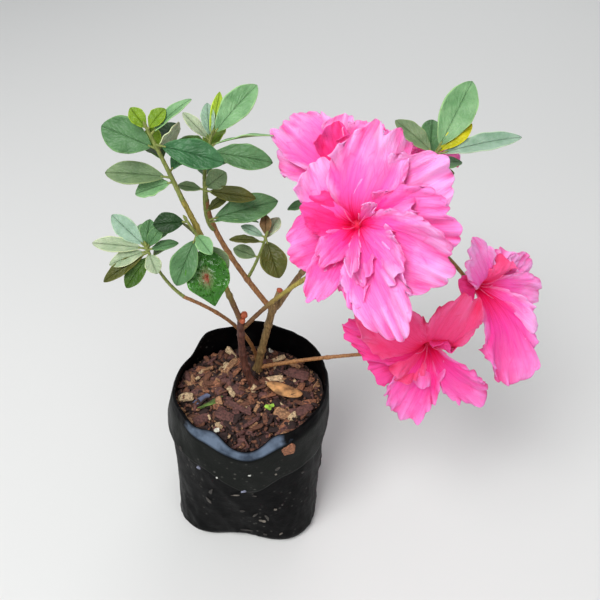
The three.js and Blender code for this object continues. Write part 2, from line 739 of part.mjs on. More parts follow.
place('grow_bag', growBag(), 'film');
place('potting_mix', pottingMix(), 'mix');
for (const [name, stem] of Object.entries(LIMBS)) {
  const path = growth(stem).getSpacedPoints(LIMB_STEPS);
  place(name, limb(path, stem, LIMB_SIDES), OLIVE_LIMBS.includes(name) ? 'olive_bark' : 'dark_bark');
}
for (const [name, parts] of Object.entries(SHOOTS)) {
  place(name, shell(filled(shoot(parts))), 'leaf');
}
Object.entries(BLOOMS).forEach(([name, parts], i) => {
  place(name, shell(filled(bloom(parts, BLOOM_SEED + i))), 'petal');
});

export default group;
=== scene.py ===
import math
import random

import bpy
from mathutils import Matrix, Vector, noise


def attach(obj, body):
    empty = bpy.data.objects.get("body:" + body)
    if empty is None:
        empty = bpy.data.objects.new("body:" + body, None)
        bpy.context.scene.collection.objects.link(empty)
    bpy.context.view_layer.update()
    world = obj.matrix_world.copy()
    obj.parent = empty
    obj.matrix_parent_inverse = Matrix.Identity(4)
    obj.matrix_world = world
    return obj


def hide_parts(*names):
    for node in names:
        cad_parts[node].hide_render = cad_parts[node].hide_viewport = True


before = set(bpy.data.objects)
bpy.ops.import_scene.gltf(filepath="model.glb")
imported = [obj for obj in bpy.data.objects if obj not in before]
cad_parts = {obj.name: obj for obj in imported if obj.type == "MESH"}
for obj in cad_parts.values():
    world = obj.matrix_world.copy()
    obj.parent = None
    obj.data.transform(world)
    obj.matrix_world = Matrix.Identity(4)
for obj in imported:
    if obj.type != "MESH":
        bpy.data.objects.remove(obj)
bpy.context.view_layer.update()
bpy.ops.object.select_all(action="DESELECT")


# The grow bag is a soft sleeve of thin black film. It starts as a flat sheet that
# is rolled and welded up the side, its base is gathered flat into four soft
# corners, and its top is folded out over the side the bag is seen from.
MM = 0.001
BAG_RADIUS = 36.5
BASE_ROUND = 3.5
BASE_CORNER = 4.2
BASE_CORNER_TURN = -52
BASE_CORNER_HEIGHT = 50
LEAN_START = 56
COLLAR_STAND = 0.9
LIP_INWARDS = 0.8
LIP_RISE = 1.3
LIP_FLAPS = [
    {"angle": 248, "width": 11, "inwards": 3},
    {"angle": 293, "width": 10, "inwards": 2.2},
]
FILM_THICKNESS = 0.35
WALL_SETBACK = 0.2
BELLY_HEIGHT = 30
FILM_COLUMNS = 260
MOUTH_FIELDS = ("angle", "height", "reach", "fold", "drop")
MOUTH = [dict(zip(MOUTH_FIELDS, row)) for row in (
    (-86, 68, 36.6, 1, 24.5),
    (-62, 72.5, 36.4, 1, 22),
    (-38, 73.5, 36.2, 1, 23),
    (-12, 71.5, 35.8, 0.8, 15),
    (14, 74.5, 36.2, 0.3, 5),
    (34, 77, 36.4, 0, 2),
    (64, 76.5, 36.2, 0, 2),
    (86, 78.4, 36.4, 0, 2),
    (103, 75.8, 36, 0, 2),
    (123, 76.8, 36.2, 0, 2),
    (146, 69.5, 34.6, 0.2, 4),
    (178, 70.5, 33.2, 0.8, 12),
    (214, 74, 33.2, 1, 17),
    (240, 73, 34.6, 1, 17),
)]


def mixed(a, b, share):
    return a + (b - a) * share


def hump(off, half):
    """1 at no distance off, falling away softly within about half."""
    return math.exp(-((off / half) ** 2))


def eased(low, high, value):
    """0 below low, 1 above high and a smooth rise between them."""
    share = min(max((value - low) / (high - low), 0), 1)
    return share * share * (3 - 2 * share)


def mouth_at(angle, field):
    """One field of the bag's mouth at an angle, eased between its neighbours."""
    first = MOUTH[0]["angle"]
    wrapped = (angle - first) % 360 + first
    i = max(k for k, entry in enumerate(MOUTH) if entry["angle"] <= wrapped)
    here = MOUTH[i]
    after = MOUTH[(i + 1) % len(MOUTH)]
    span = (after["angle"] - here["angle"]) % 360
    return mixed(here[field], after[field], eased(0, 1, (wrapped - here["angle"]) / span))


def corner_at(angle, height):
    """How far the base is pulled out into its soft corners at a height."""
    share = max(1 - height / BASE_CORNER_HEIGHT, 0)
    return BASE_CORNER * share * math.cos(math.radians(4 * (angle - BASE_CORNER_TURN)))


def around(angle, reach, height):
    turn = math.radians(angle)
    return Vector((reach * math.cos(turn), reach * math.sin(turn), height))


def just_added(name):
    """The primitive that was just added, named."""
    piece = bpy.context.object
    piece.name = name
    piece.data.name = name
    return piece


def add_sheet(name, columns, rows):
    """A flat grid of unit size with a UV map, ready to be shaped."""
    bpy.ops.object.select_all(action="DESELECT")
    bpy.ops.mesh.primitive_grid_add(x_subdivisions=columns, y_subdivisions=rows, size=1)
    return just_added(name)


def reshape(sheet, rule):
    """Moves every vertex of a unit grid to rule(u, v), given in millimetres."""
    for vertex in sheet.data.vertices:
        vertex.co = rule(vertex.co.x + 0.5, vertex.co.y + 0.5) * MM


def choose(piece):
    """Selects this piece alone and makes it the active one."""
    bpy.ops.object.select_all(action="DESELECT")
    bpy.context.view_layer.objects.active = piece
    piece.select_set(True)


def weld(piece, distance=0.00001, closed=True):
    """Merges the seam and the poles, and turns a closed piece's faces outwards."""
    choose(piece)
    bpy.ops.object.mode_set(mode="EDIT")
    bpy.ops.mesh.select_all(action="SELECT")
    bpy.ops.mesh.remove_doubles(threshold=distance)
    if closed:
        bpy.ops.mesh.normals_make_consistent(inside=False)
    bpy.ops.object.mode_set(mode="OBJECT")
    bpy.ops.object.shade_smooth()


def apply(piece, kind, **values):
    """Adds a modifier with these values and applies it."""
    choose(piece)
    modifier = piece.modifiers.new(kind.title(), kind)
    for key, value in values.items():
        setattr(modifier, key, value)
    bpy.ops.object.modifier_apply(modifier=modifier.name)


def wall_at(angle, height):
    """How far out the wall is at a height. Its top leans to the mouth's reach."""
    lean = max(height - LEAN_START, 0) / (mouth_at(angle, "height") - LEAN_START)
    return mixed(BAG_RADIUS + corner_at(angle, height), mouth_at(angle, "reach"), lean)


def lip_inwards(angle):
    """How far the lip reaches in over the mix, more where it lies as a flap."""
    flaps = sum(
        flap["inwards"] * hump(angle % 360 - flap["angle"], flap["width"])
        for flap in LIP_FLAPS
    )
    return LIP_INWARDS + flaps


def film_path(angle):
    """The film's course at an angle, from the middle of the base up the wall,
    over the lip and down the folded collar, as corner points with row counts."""
    height = mouth_at(angle, "height")
    reach = mouth_at(angle, "reach")
    fold = mouth_at(angle, "fold")
    drop = mixed(0.7, mouth_at(angle, "drop"), min(fold * 1.2, 1))
    foot = BAG_RADIUS + corner_at(angle, 0)
    low = BAG_RADIUS + corner_at(angle, BASE_ROUND)
    stand = COLLAR_STAND * fold
    inner = reach - lip_inwards(angle)
    lip = height + LIP_RISE * fold
    shoulder = height - LIP_RISE * fold - 0.1
    return [
        (0, 0, 10),
        (foot - BASE_ROUND, 0, 4),
        (foot - BASE_ROUND * 0.3, BASE_ROUND * 0.3, 4),
        (low, BASE_ROUND, 26),
        (wall_at(angle, BELLY_HEIGHT) - WALL_SETBACK, BELLY_HEIGHT, 14),
        (wall_at(angle, LEAN_START) - WALL_SETBACK, LEAN_START, 10),
        (wall_at(angle, height - 4) - 0.5 * fold, height - 4, 6),
        (mixed(reach, inner, fold), lip - 0.2, 2),
        (mixed(reach + 0.2, inner + 0.5, fold), lip, 8),
        (reach + mixed(0.25, 0.6, fold), shoulder, 3),
        (reach + stand * 0.9 + 0.3, shoulder - 1.6 * fold, 18),
        (wall_at(angle, height - drop) + stand + 0.2, height - drop, 0),
    ]


FILM_ROWS = sum(rows for _, _, rows in film_path(0))
LIP_ROW = sum(rows for _, _, rows in film_path(0)[:8])
COLLAR_ROW = sum(rows for _, _, rows in film_path(0)[:9])


def film_point(angle, row):
    """A point on the smooth film, with the way that it faces."""
    path = film_path(angle)
    for (reach, height, rows), (reach_next, height_next, _) in zip(path, path[1:]):
        if row <= rows:
            break
        row -= rows
    share = row / rows
    out = Vector((height_next - height, 0, reach - reach_next))
    face = around(angle, out.x, out.z).normalized()
    return around(angle, mixed(reach, reach_next, share), mixed(height, height_next, share)), face


def wrinkle(angle, height, row):
    """How far slack film stands proud: long folds that fan out from the gathered
    corners, slanting pulls across the wall and the lumps of the mix behind."""
    turn = math.radians(angle)
    spot = Vector((math.cos(turn) * 3, math.sin(turn) * 3, height * 0.035))
    lumps = noise.fractal(spot * 1.3, 0.9, 2.1, 3) * 0.3
    slant = Vector((angle * 0.05 + height * 0.045, height * 0.012, 3.1))
    pulls = 1 - abs(noise.noise(slant))
    pulls = max(pulls - 0.72, 0) / 0.28
    gather = Vector((math.cos(turn) * 9, math.sin(turn) * 9, height * 0.05))
    pleats = (1 - abs(noise.noise(gather))) ** 6 * math.exp(-height / 20)
    crumple = noise.ridged_multi_fractal(spot * 2.6, 1.0, 2.2, 3, 0.8, 2.0) * 0.16
    fade = eased(0, 4, height) * (0.5 if row >= COLLAR_ROW else 1)
    return fade * (lumps + pulls * 0.4 + pleats * 0.5 + crumple - 0.35)


def rolled_film(u, v):
    angle = u * 360
    row = v * FILM_ROWS
    point, face = film_point(angle, row)
    seam_shared = angle % 360
    near_lip = 1 - 0.75 * hump(row - LIP_ROW, 6)
    return point + face * wrinkle(seam_shared, point.z, row) * near_lip


film = add_sheet("film_sleeve", FILM_COLUMNS, FILM_ROWS)
reshape(film, rolled_film)
weld(film, closed=False)
apply(film, "SOLIDIFY", thickness=FILM_THICKNESS * MM, offset=-1)


def feed(tree, node, **inputs):
    """Sets a node's inputs by name, or by number as i0. A socket is linked to it."""
    for key, value in inputs.items():
        target = node.inputs[int(key[1:]) if key[1:].isdigit() else key.replace("_", " ")]
        if isinstance(value, bpy.types.NodeSocket):
            tree.links.new(value, target)
        else:
            target.default_value = value


def shade(tree, kind, **inputs):
    """Adds a shader node with these inputs."""
    node = tree.nodes.new(kind)
    feed(tree, node, **inputs)
    return node


def tint(*channels):
    """A colour in linear light from its eyedropper values."""
    shares = [channel / 255 for channel in channels]
    return (*[c / 12.92 if c <= 10 / 255 else ((c + 0.055) / 1.055) ** 2.4 for c in shares], 1)


def toned(colour, shares, added=(0, 0, 0)):
    """A colour made darker or paler, each channel by a share of its own."""
    return tint(*[min(c * share + more, 255) for c, share, more in zip(colour, shares, added)])


def new_material(name):
    material = bpy.data.materials.new(name)
    material.use_nodes = True
    surface = material.node_tree.nodes["Principled BSDF"]
    return material, material.node_tree, surface


def blended(tree, share, first, second):
    """The colour that a Mix node makes of two colours or sockets."""
    mix = tree.nodes.new("ShaderNodeMix")
    mix.data_type = "RGBA"
    feed(tree, mix, i0=share, i6=first, i7=second)
    return mix.outputs[2]


def ranged(tree, value, low, high, to_low=0.0, to_high=1.0):
    """The output of a Map Range node, clamped."""
    ends = {"From_Min": low, "From_Max": high, "To_Min": to_low, "To_Max": to_high}
    return shade(tree, "ShaderNodeMapRange", Value=value, **ends).outputs["Result"]


def figured(tree, operation, first, second=0.0):
    """The output of a Math node."""
    node = shade(tree, "ShaderNodeMath", i0=first, i1=second)
    node.operation = operation
    return node.outputs[0]


def plus(tree, first, second):
    return figured(tree, "ADD", first, second)


def times(tree, first, second):
    return figured(tree, "MULTIPLY", first, second)


def away(tree, value, middle):
    """How far a value lies from a middle."""
    return figured(tree, "ABSOLUTE", figured(tree, "SUBTRACT", value, middle))


def stretched(tree, place, scale):
    return shade(tree, "ShaderNodeMapping", Vector=place, Scale=scale).outputs["Vector"]


def on_object(tree, scale=(1, 1, 1)):
    """Object coordinates in millimetres, stretched by a scale."""
    place = tree.nodes.new("ShaderNodeTexCoord").outputs["Object"]
    return stretched(tree, place, [value / MM for value in scale])


def on_sheet(tree):
    """The piece's own UV map."""
    return tree.nodes.new("ShaderNodeUVMap").outputs["UV"]


def apart(tree, place):
    """The X, Y and Z of a place."""
    return shade(tree, "ShaderNodeSeparateXYZ", Vector=place).outputs


def grain(tree, place, scale, detail=4.0, roughness=0.55):
    ways = {"Scale": scale, "Detail": detail, "Roughness": roughness}
    return shade(tree, "ShaderNodeTexNoise", Vector=place, **ways).outputs[0]


def cells(tree, place, scale):
    """How far each place is from the middle of its cell."""
    return shade(tree, "ShaderNodeTexVoronoi", Vector=place, Scale=scale).outputs["Distance"]


def new_group(name, place, numbers, masks):
    """A node group for a place and numbers, and its inner ends."""
    group = bpy.data.node_groups.new(name, "ShaderNodeTree")
    group.interface.new_socket(place, in_out="INPUT", socket_type="NodeSocketVector")
    for number in numbers:
        group.interface.new_socket(number, in_out="INPUT", socket_type="NodeSocketFloat")
    for mask in masks:
        group.interface.new_socket(mask, in_out="OUTPUT", socket_type="NodeSocketFloat")
    given = group.nodes.new("NodeGroupInput").outputs
    return group, given, group.nodes.new("NodeGroupOutput")


def grouped(tree, group, **inputs):
    """The outputs of a node group placed in a material."""
    node = tree.nodes.new("ShaderNodeGroup")
    node.node_tree = group
    feed(tree, node, **inputs)
    return node.outputs


def embossed(tree, surface, height, distance, strength=1.0):
    """Feeds a height in millimetres to a Bump node on the surface."""
    bump = shade(tree, "ShaderNodeBump", Height=height, Distance=distance * MM, Strength=strength)
    feed(tree, surface, Normal=bump.outputs["Normal"])


def speckle_group():
    """Dust and dried splashes: a mask from an Object place in millimetres."""
    group, given, end = new_group("dried_splashes", "Place", ("Size", "Amount"), ("Mask",))
    patches = grain(group, given["Place"], 0.07, 6.0, 0.5)
    dot = ranged(group, cells(group, given["Place"], given["Size"]), 0.26, 0.08)
    where = ranged(group, patches, 0.5, 0.66)
    feed(group, end, Mask=times(group, times(group, dot, where), given["Amount"]))
    return group


SPLASHES = speckle_group()
# The front of the lip's band carries a painted reflection: blue-grey that stands in for the sky
# mirrored on the film's top.
LIP_MIDDLE = LIP_ROW + 4.4
LIP_HALF = 5.2
LIP_FRONT = 267
LIP_SPREAD = (0.112, 0.085)
film_finish, tree, surface = new_material("film_black")
place = on_object(tree)
cloudy = grain(tree, place, 0.09, 5.0)
fine = grain(tree, place, 1.4, 3.0)
ways = apart(tree, on_sheet(tree))
off_lip = away(tree, ways["Y"], LIP_MIDDLE / FILM_ROWS)
on_lip = ranged(tree, off_lip, LIP_HALF / FILM_ROWS, LIP_HALF / FILM_ROWS * 0.6)
off_front = away(tree, ways["X"], LIP_FRONT / 360)
ragged = plus(tree, off_front, ranged(tree, cloudy, 0.3, 0.7, -0.03, 0.03))
at_front = ranged(tree, ragged, *LIP_SPREAD)
on_collar = ranged(tree, ways["Y"], (COLLAR_ROW + 1) / FILM_ROWS, (COLLAR_ROW + 3) / FILM_ROWS)
black = blended(tree, cloudy, tint(2, 2, 3), tint(6, 6, 7))
black = blended(tree, on_collar, black, tint(22, 24, 22))
greyed = blended(tree, ranged(tree, cloudy, 0.56, 0.76, 0, 0.3), black, tint(36, 37, 36))
# Painted reflection: patchy blue-grey for the sky mirrored on the lip's front band.
painted_sky_reflection = ranged(tree, grain(tree, place, 0.16, 4.0), 0.36, 0.62)
painted_sky_reflection = blended(tree, painted_sky_reflection, tint(58, 68, 82), tint(98, 112, 130))
film_with_painted_reflection = blended(tree, times(tree, on_lip, at_front), greyed, painted_sky_reflection)
dust = grouped(tree, SPLASHES, Place=place, Size=0.34, Amount=0.4)["Mask"]
feed(
    tree, surface, Base_Color=blended(tree, dust, film_with_painted_reflection, tint(112, 110, 105)),
    Roughness=ranged(tree, cloudy, 0.3, 0.7, 0.36, 0.6), Specular_IOR_Level=0.06,
)
embossed(tree, surface, plus(tree, cloudy, times(tree, fine, 0.16)), 0.9, 0.6)
film.data.materials.append(film_finish)
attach(film, "root")
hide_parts("grow_bag")


# The potting mix is damp bark, chopped and sieved, pressed round the stems by
# hand. It fills the bag to just under the lip, with a low ring of crumbs heaped
# at the foot of each stem.
FILM_ROOM = 0.8
MIX_GAP = 0.3
MIX_SIDE_GAP = 0.7
MIX_LEVEL = 65
MIX_SLOPE = 0.085
MIX_LUMP = 1.1
CHIP_SEED = 41
FOOT_PAD = 1.2
FOOT_SPREAD = 7
UNDER_RIM = 2
WALL_SHARE = 0.6
WRAP = 0xFFFFFFFF
DRAW_STEP = 0x6D2B79F5
MIX_COLUMNS = 220
MIX_TOP_ROWS = 90
MIX_WALL_ROWS = 14
STEM_FEET = [Vector((3.4, 6, 0)), Vector((3.2, 16.6, 0)), Vector((3.4, 23, 0))]


def seeded(seed):
    """The same draws between 0 and 1 as the solid's source makes."""
    state = [seed & WRAP]

    def draw():
        state[0] = (state[0] + DRAW_STEP) & WRAP
        stir = state[0]
        stir = ((stir ^ (stir >> 15)) * (stir | 1)) & WRAP
        stir ^= (stir + ((stir ^ (stir >> 7)) * (stir | 61))) & WRAP
        return ((stir ^ (stir >> 14)) & WRAP) / (WRAP + 1)

    return draw


mix_draw = seeded(CHIP_SEED)
MIX_WAVES = [
    {"turn": math.radians(mix_draw() * 360), "rate": 0.12 + mix_draw() * 0.3, "shift": mix_draw() * 7}
    for _ in range(7)
]


def mix_level(x, y):
    """Height of the mix's surface, lumpy and a little higher at the front."""
    lump = sum(
        math.sin((x * math.cos(w["turn"]) + y * math.sin(w["turn"])) * w["rate"] + w["shift"])
        for w in MIX_WAVES
    ) / len(MIX_WAVES)
    nearest = min(math.hypot(foot.x - x, foot.y - y) for foot in STEM_FEET)
    pad = FOOT_PAD * hump(nearest, FOOT_SPREAD)
    return MIX_LEVEL - MIX_SLOPE * y + MIX_LUMP * 1.8 * lump + pad


def mix_point(u, v):
    angle = (u * 360) % 360
    wall = wall_at(angle, MIX_LEVEL + 1) - FILM_ROOM
    row = v * (MIX_TOP_ROWS + MIX_WALL_ROWS)
    if row <= MIX_TOP_ROWS:
        spot = around(angle, wall * row / MIX_TOP_ROWS, 0)
        level = min(mix_level(spot.x, spot.y), mouth_at(angle, "height") - UNDER_RIM)
        crumbs = noise.fractal(spot * 0.55, 0.7, 2.2, 5) * 0.8 + abs(noise.noise(spot * 0.9)) * 0.9
        return Vector((spot.x, spot.y, level + crumbs - 0.5))
    top = min(mix_level(*around(angle, wall, 0).xy), mouth_at(angle, "height") - UNDER_RIM)
    down = (row - MIX_TOP_ROWS) / MIX_WALL_ROWS
    if down < WALL_SHARE:
        height = mixed(top, BASE_ROUND + 1, down / WALL_SHARE)
        inside = wall_at(angle, height) - FILM_ROOM - MIX_SIDE_GAP
        return around(angle, min(inside, BAG_RADIUS - 1), height)
    foot = wall_at(angle, 0) - BASE_ROUND - 2
    return around(angle, foot * (1 - down) / (1 - WALL_SHARE), FILM_ROOM + MIX_GAP + 0.2)


plug = add_sheet("mix_plug", MIX_COLUMNS, MIX_TOP_ROWS + MIX_WALL_ROWS)
reshape(plug, mix_point)
weld(plug)

soil_finish, tree, surface = new_material("mix_dark_crumbs")
place = on_object(tree)
crumbly = grain(tree, place, 0.8, 8.0, 0.7)
clods = cells(tree, place, 0.75)
damp_mix_and_crevice_shade = blended(tree, ranged(tree, crumbly, 0.35, 0.65), tint(32, 21, 17), tint(76, 53, 43))
# Painted shade: the mix is darker between the clods, where the bump sinks into crevices.
damp_mix_and_crevice_shade = blended(tree, ranged(tree, clods, 0.1, 0.75, 0, 0.6), damp_mix_and_crevice_shade, tint(30, 20, 18))
feed(tree, surface, Base_Color=damp_mix_and_crevice_shade, Roughness=0.85)
embossed(tree, surface, figured(tree, "SUBTRACT", crumbly, clods), 1.2, 0.8)
plug.data.materials.append(soil_finish)
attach(plug, "root")
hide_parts("potting_mix")


# Bark chips, grit and crumbs lie loose on the mix, each a small split flake or
# rounded grain. A few dry ones are tan or orange, and a dead leaf, a green blade,
# a grey shred and a small sprout lie among them.
CHIP_COUNT = 430
GRIT_COUNT = 1500
LOOSE_SEED = 12
FULL_TURN = 6.28
CHIP_REACH = 32.5
GRIT_REACH = 33.8
STEM_ROOM = 3.4
# Places in CHIP_TONES, each as often as its kind lies there. The dark bark is dealt often, partly as
# painted shade for the hollows among the chips.
CHIP_KINDS = [0, 0, 1, 1, 2, 2, 2, 3, 0, 4, 1, 0, 2, 5]
GRIT_KINDS = [0, 0, 1, 1, 2, 2, 0, 3]
CHIP_TONES = {
    "bark_dark": (50, 31, 28),
    "bark_plum": (100, 66, 62),
    "bark_brown": (110, 72, 54),
    "bark_tan": (160, 122, 90),
    "bark_orange": (146, 98, 72),
    "bark_pale": (196, 174, 140),
    "dead_leaf": (200, 152, 100),
    "grass_green": (96, 128, 58),
    "sprout_green": (150, 198, 72),
    "shred_grey": (84, 92, 120),
    "grit_white": (226, 222, 210),
    "splash_pale": (176, 180, 180),
    "splash_blue": (116, 122, 146),
    "splash_grey": (112, 108, 102),
    "splash_dim": (62, 60, 58),
}


def bark_material(name, colour):
    """Fibrous bark. A leaf, a shred or a dried mark is smooth, with broad patches."""
    material, tree, surface = new_material(name)
    smooth = not name.startswith("bark")
    place = on_object(tree, (1, 1, 2.4))
    fibre = grain(tree, place, 0.22 if smooth else 0.9, 6.0, 0.5 if smooth else 0.65)
    dark = toned(colour, (0.62, 0.58, 0.56))
    pale = toned(colour, (1.18, 1.16, 1.12))
    bark = blended(tree, ranged(tree, fibre, 0.36, 0.64), dark, pale)
    feed(tree, surface, Base_Color=bark, Roughness=0.78)
    embossed(tree, surface, fibre, 0.5, 0.3 if smooth else 0.7)
    return material


def add_flake(name, cuts):
    """A thin split flake: a block with its corners pulled in and its faces cut."""
    bpy.ops.object.select_all(action="DESELECT")
    bpy.ops.mesh.primitive_cube_add(size=1)
    flake = just_added(name)
    bpy.ops.object.mode_set(mode="EDIT")
    bpy.ops.mesh.select_all(action="SELECT")
    bpy.ops.mesh.bevel(offset=0.16, segments=1, affect="EDGES")
    bpy.ops.mesh.subdivide(number_cuts=cuts)
    bpy.ops.object.mode_set(mode="OBJECT")
    return flake


def add_scab(name):
    """A round crust, thin at its edge."""
    bpy.ops.object.select_all(action="DESELECT")
    bpy.ops.mesh.primitive_ico_sphere_add(subdivisions=3, radius=0.5)
    return just_added(name)


def placed(name, data):
    """A new object in the scene that holds this data."""
    thing = bpy.data.objects.new(name, data)
    bpy.context.scene.collection.objects.link(thing)
    return thing


def scatter(name, model, count, pick, draw, torn=0.45):
    """Copies a small model to the places that pick gives, in one joined mesh."""
    outline = [v.co.copy() for v in model.data.vertices]
    shapes = [tuple(f.vertices) for f in model.data.polygons]
    points, faces, kinds = [], [], []
    for i in range(count):
        spot, size, turn, tip, roll, kind = pick(i, draw)
        lead = len(points)
        jolt = Vector((draw(), draw(), draw())) * 40
        face = around(math.degrees(roll), math.sin(tip), math.cos(tip))
        level, lean = turn if isinstance(turn, tuple) else (turn, 0)
        along = Vector((math.cos(level), math.sin(level), 0))
        along = (along - face * along.dot(face)).normalized()
        side = face.cross(along)
        along, side = (
            along * math.cos(lean) + side * math.sin(lean),
            side * math.cos(lean) - along * math.sin(lean),
        )
        for corner in outline:
            rough = 1 + torn * noise.noise(corner * 1.7 + jolt)
            bend = 0.25 * size[2] * math.sin(corner.x * 3 + jolt.x)
            local = along * corner.x * size[0] * rough + side * corner.y * size[1] * rough
            points.append((spot + local + face * (corner.z * size[2] * rough + bend)) * MM)
        faces.extend(tuple(lead + k for k in shape) for shape in shapes)
        kinds.extend([kind] * len(shapes))
    mesh = bpy.data.meshes.new(name)
    mesh.from_pydata(points, [], faces)
    mesh.polygons.foreach_set("material_index", kinds)
    bpy.data.objects.remove(model)
    return placed(name, mesh)


def loose_spot(draw, reach):
    while True:
        angle = draw() * 360
        out = reach * math.sqrt(draw())
        spot = around(angle, out, 0)
        if all(math.hypot(foot.x - spot.x, foot.y - spot.y) > STEM_ROOM for foot in STEM_FEET):
            level = min(mix_level(spot.x, spot.y), mouth_at(angle, "height") - UNDER_RIM)
            return Vector((spot.x, spot.y, level))


def pick_chip(i, draw):
    spot = loose_spot(draw, CHIP_REACH)
    long = 2.2 + 5.2 * draw() ** 2
    size = (long, long * (0.35 + 0.3 * draw()), 0.7 + 0.7 * draw())
    kind = CHIP_KINDS[int(draw() * len(CHIP_KINDS))]
    spot.z += 0.2 + 0.9 * draw()
    return spot, size, draw() * FULL_TURN, (draw() ** 2) * 0.9, draw() * FULL_TURN, kind


def pick_grit(i, draw):
    spot = loose_spot(draw, GRIT_REACH)
    long = 0.5 + 1.3 * draw() ** 2
    kind = GRIT_KINDS[int(draw() * len(GRIT_KINDS))]
    spot.z += 0.3 + 0.5 * draw()
    size = (long, long * 0.8, long * 0.7)
    return spot, size, draw() * FULL_TURN, draw() * 1.5, draw() * FULL_TURN, kind


# The larger dry pieces that lie on top, each at its own place.
LAID_FIELDS = ("spot", "size", "turn", "tone", "lift")
LAID_CHIPS = [dict(zip(LAID_FIELDS, row)) for row in (
    ((16.6, 1.4), (19, 9, 1.3), -22, "dead_leaf", 5.4),
    ((11.6, 9.4), (9, 3.4, 1.1), 8, "bark_pale", 2.6),
    ((22.8, 12.6), (10.6, 5.4, 1.2), -16, "bark_plum", 2.4),
    ((-10.4, 18.8), (11.5, 3.2, 1), 52, "bark_tan", 2.2),
    ((-6.8, 14.6), (8, 2.2, 0.9), 60, "bark_orange", 2.2),
    ((-27.8, -3.8), (6.8, 4.6, 1.8), 12, "bark_pale", 2.4),
    ((-22.2, 1.4), (4.6, 3, 1.4), 40, "bark_tan", 2),
    ((-25.2, -17), (6.4, 3.4, 1.2), -25, "bark_tan", 2),
    ((-19.2, -15.8), (8.6, 4.6, 1.2), 38, "bark_plum", 2.4),
    ((16, -12.4), (7, 5, 1.2), -30, "bark_tan", 2.2),
    ((17.4, -20.4), (6.2, 3, 1.2), 62, "bark_orange", 2),
    ((25.6, -10.4), (8.4, 5.2, 1.1), 30, "bark_plum", 2.2),
    ((-3.4, -9.6), (13, 2.6, 1.1), -34, "bark_plum", 2.8),
    ((-8.4, -15.4), (9.6, 4.6, 1.1), -18, "bark_plum", 2.2),
    ((3.2, -18.4), (8.6, 2.2, 1), 48, "bark_plum", 2.8),
    ((-15.6, 6.2), (10, 3, 1.1), 30, "bark_brown", 2.4),
    ((-4.8, 2.4), (8, 3.8, 1.1), -50, "bark_plum", 2.4),
    ((20.4, 21.2), (9, 2.6, 1.1), -38, "bark_tan", 2.4),
    ((12.6, 24.4), (8.4, 2.4, 1), 14, "bark_pale", 2.4),
    ((-20.6, 11), (8, 3.4, 1.1), 62, "bark_brown", 2.2),
    ((-16.4, -5.8), (12, 1.7, 0.5), 37, "grass_green", 3.2),
    ((-17.6, -7.8), (9, 1.1, 0.4), 24, "grass_green", 3),
    ((-20.8, -3.8), (8.4, 3.6, 0.4), 40, "shred_grey", 2.4),
    ((9.4, -8.6), (2.6, 1.8, 0.5), 150, "sprout_green", 3.4),
    ((11, -8), (2.6, 1.8, 0.5), 20, "sprout_green", 3.6),
    ((10.4, -9.6), (2.2, 1.6, 0.5), 270, "sprout_green", 3),
    ((-11.9, -23.2), (2.4, 2, 1.6), 10, "grit_white", 2.6),
    ((9.6, 31.4), (2.2, 2, 1.6), 10, "grit_white", 2.6),
    ((19, -32.6), (5.8, 5.4, 1.8), 30, "bark_orange", 0),
)]
# The dead leaf is steeper, and the last piece stands against the collar.
LAID_CHIPS[0].update(tip=12, roll=60)
LAID_CHIPS[-1].update(height=67.4, tip=80, roll=-60)


def pick_laid(i, draw):
    laid = LAID_CHIPS[i]
    x, y = laid["spot"]
    height = laid.get("height", mix_level(x, y) + laid["lift"] * 0.55)
    tip = math.radians(laid.get("tip", 7 + 11 * draw()))
    roll = math.radians(laid.get("roll", draw() * 360))
    kind = list(CHIP_TONES).index(laid["tone"])
    return Vector((x, y, height)), laid["size"], math.radians(laid["turn"]), tip, roll, kind


# Crusts of dried mud and splashes that cling to the outside of the film.
FILM_LIFT = 0.1
FOLDED_LIFT = 0.65
SPLASH_DEPTH = 0.4
MARK_FIELDS = ("angle", "height", "size", "turn", "tone")
CLINGING = [dict(zip(MARK_FIELDS, row)) for row in (
    (236, 52, (2.6, 1.8), 40, "splash_blue"),
    (252, 52.6, (1, 1), 0, "splash_pale"),
    (274, 56.6, (1.1, 1), 20, "splash_pale"),
    (269, 44.5, (2.4, 1.5), 30, "splash_blue"),
    (262, 38.2, (3.6, 0.9), 20, "splash_grey"),
    (259, 47.4, (4.4, 0.8), -8, "splash_dim"),
    (276, 38.4, (1.6, 1), 0, "splash_dim"),
    (244, 37.6, (1.4, 5), -22, "splash_dim"),
    (241, 29.4, (1.3, 5.2), 38, "splash_dim"),
    (266, 24.6, (2, 1.8), 10, "splash_dim"),
    (276, 22.6, (3.8, 1.4), 42, "splash_dim"),
    (281, 17.6, (3.6, 1.6), -36, "splash_grey"),
    (284, 20.6, (1.3, 4.4), 12, "splash_dim"),
    (290, 27, (1.4, 1.6), 30, "splash_grey"),
    (295, 29.4, (1, 1.2), 0, "splash_dim"),
    (313, 44, (1.4, 2), 20, "splash_dim"),
    (292, 57.4, (1.8, 2.6), -26, "splash_dim"),
    (291, 54, (1, 1.4), 16, "splash_grey"),
    (270, 6.8, (6.4, 1), -12, "splash_dim"),
    (282, 6.2, (2.2, 1), -30, "splash_dim"),
    (293, 7.4, (1.8, 1.2), 40, "splash_grey"),
    (222, 58, (1.6, 3.4), 30, "splash_dim"),
)]


def pick_clinging(i, draw):
    mark = CLINGING[i]
    angle, height = mark["angle"], mark["height"]
    folded = height > mouth_at(angle, "height") - mouth_at(angle, "drop")
    reach = wall_at(angle, height) + (COLLAR_STAND + FOLDED_LIFT if folded else FILM_LIFT)
    kind = list(CHIP_TONES).index(mark["tone"])
    size = (*mark["size"], SPLASH_DEPTH)
    turned = math.radians(angle + 90)
    lean = math.radians(mark["turn"])
    return around(angle, reach, height), size, (turned, lean), math.pi / 2, math.radians(angle), kind


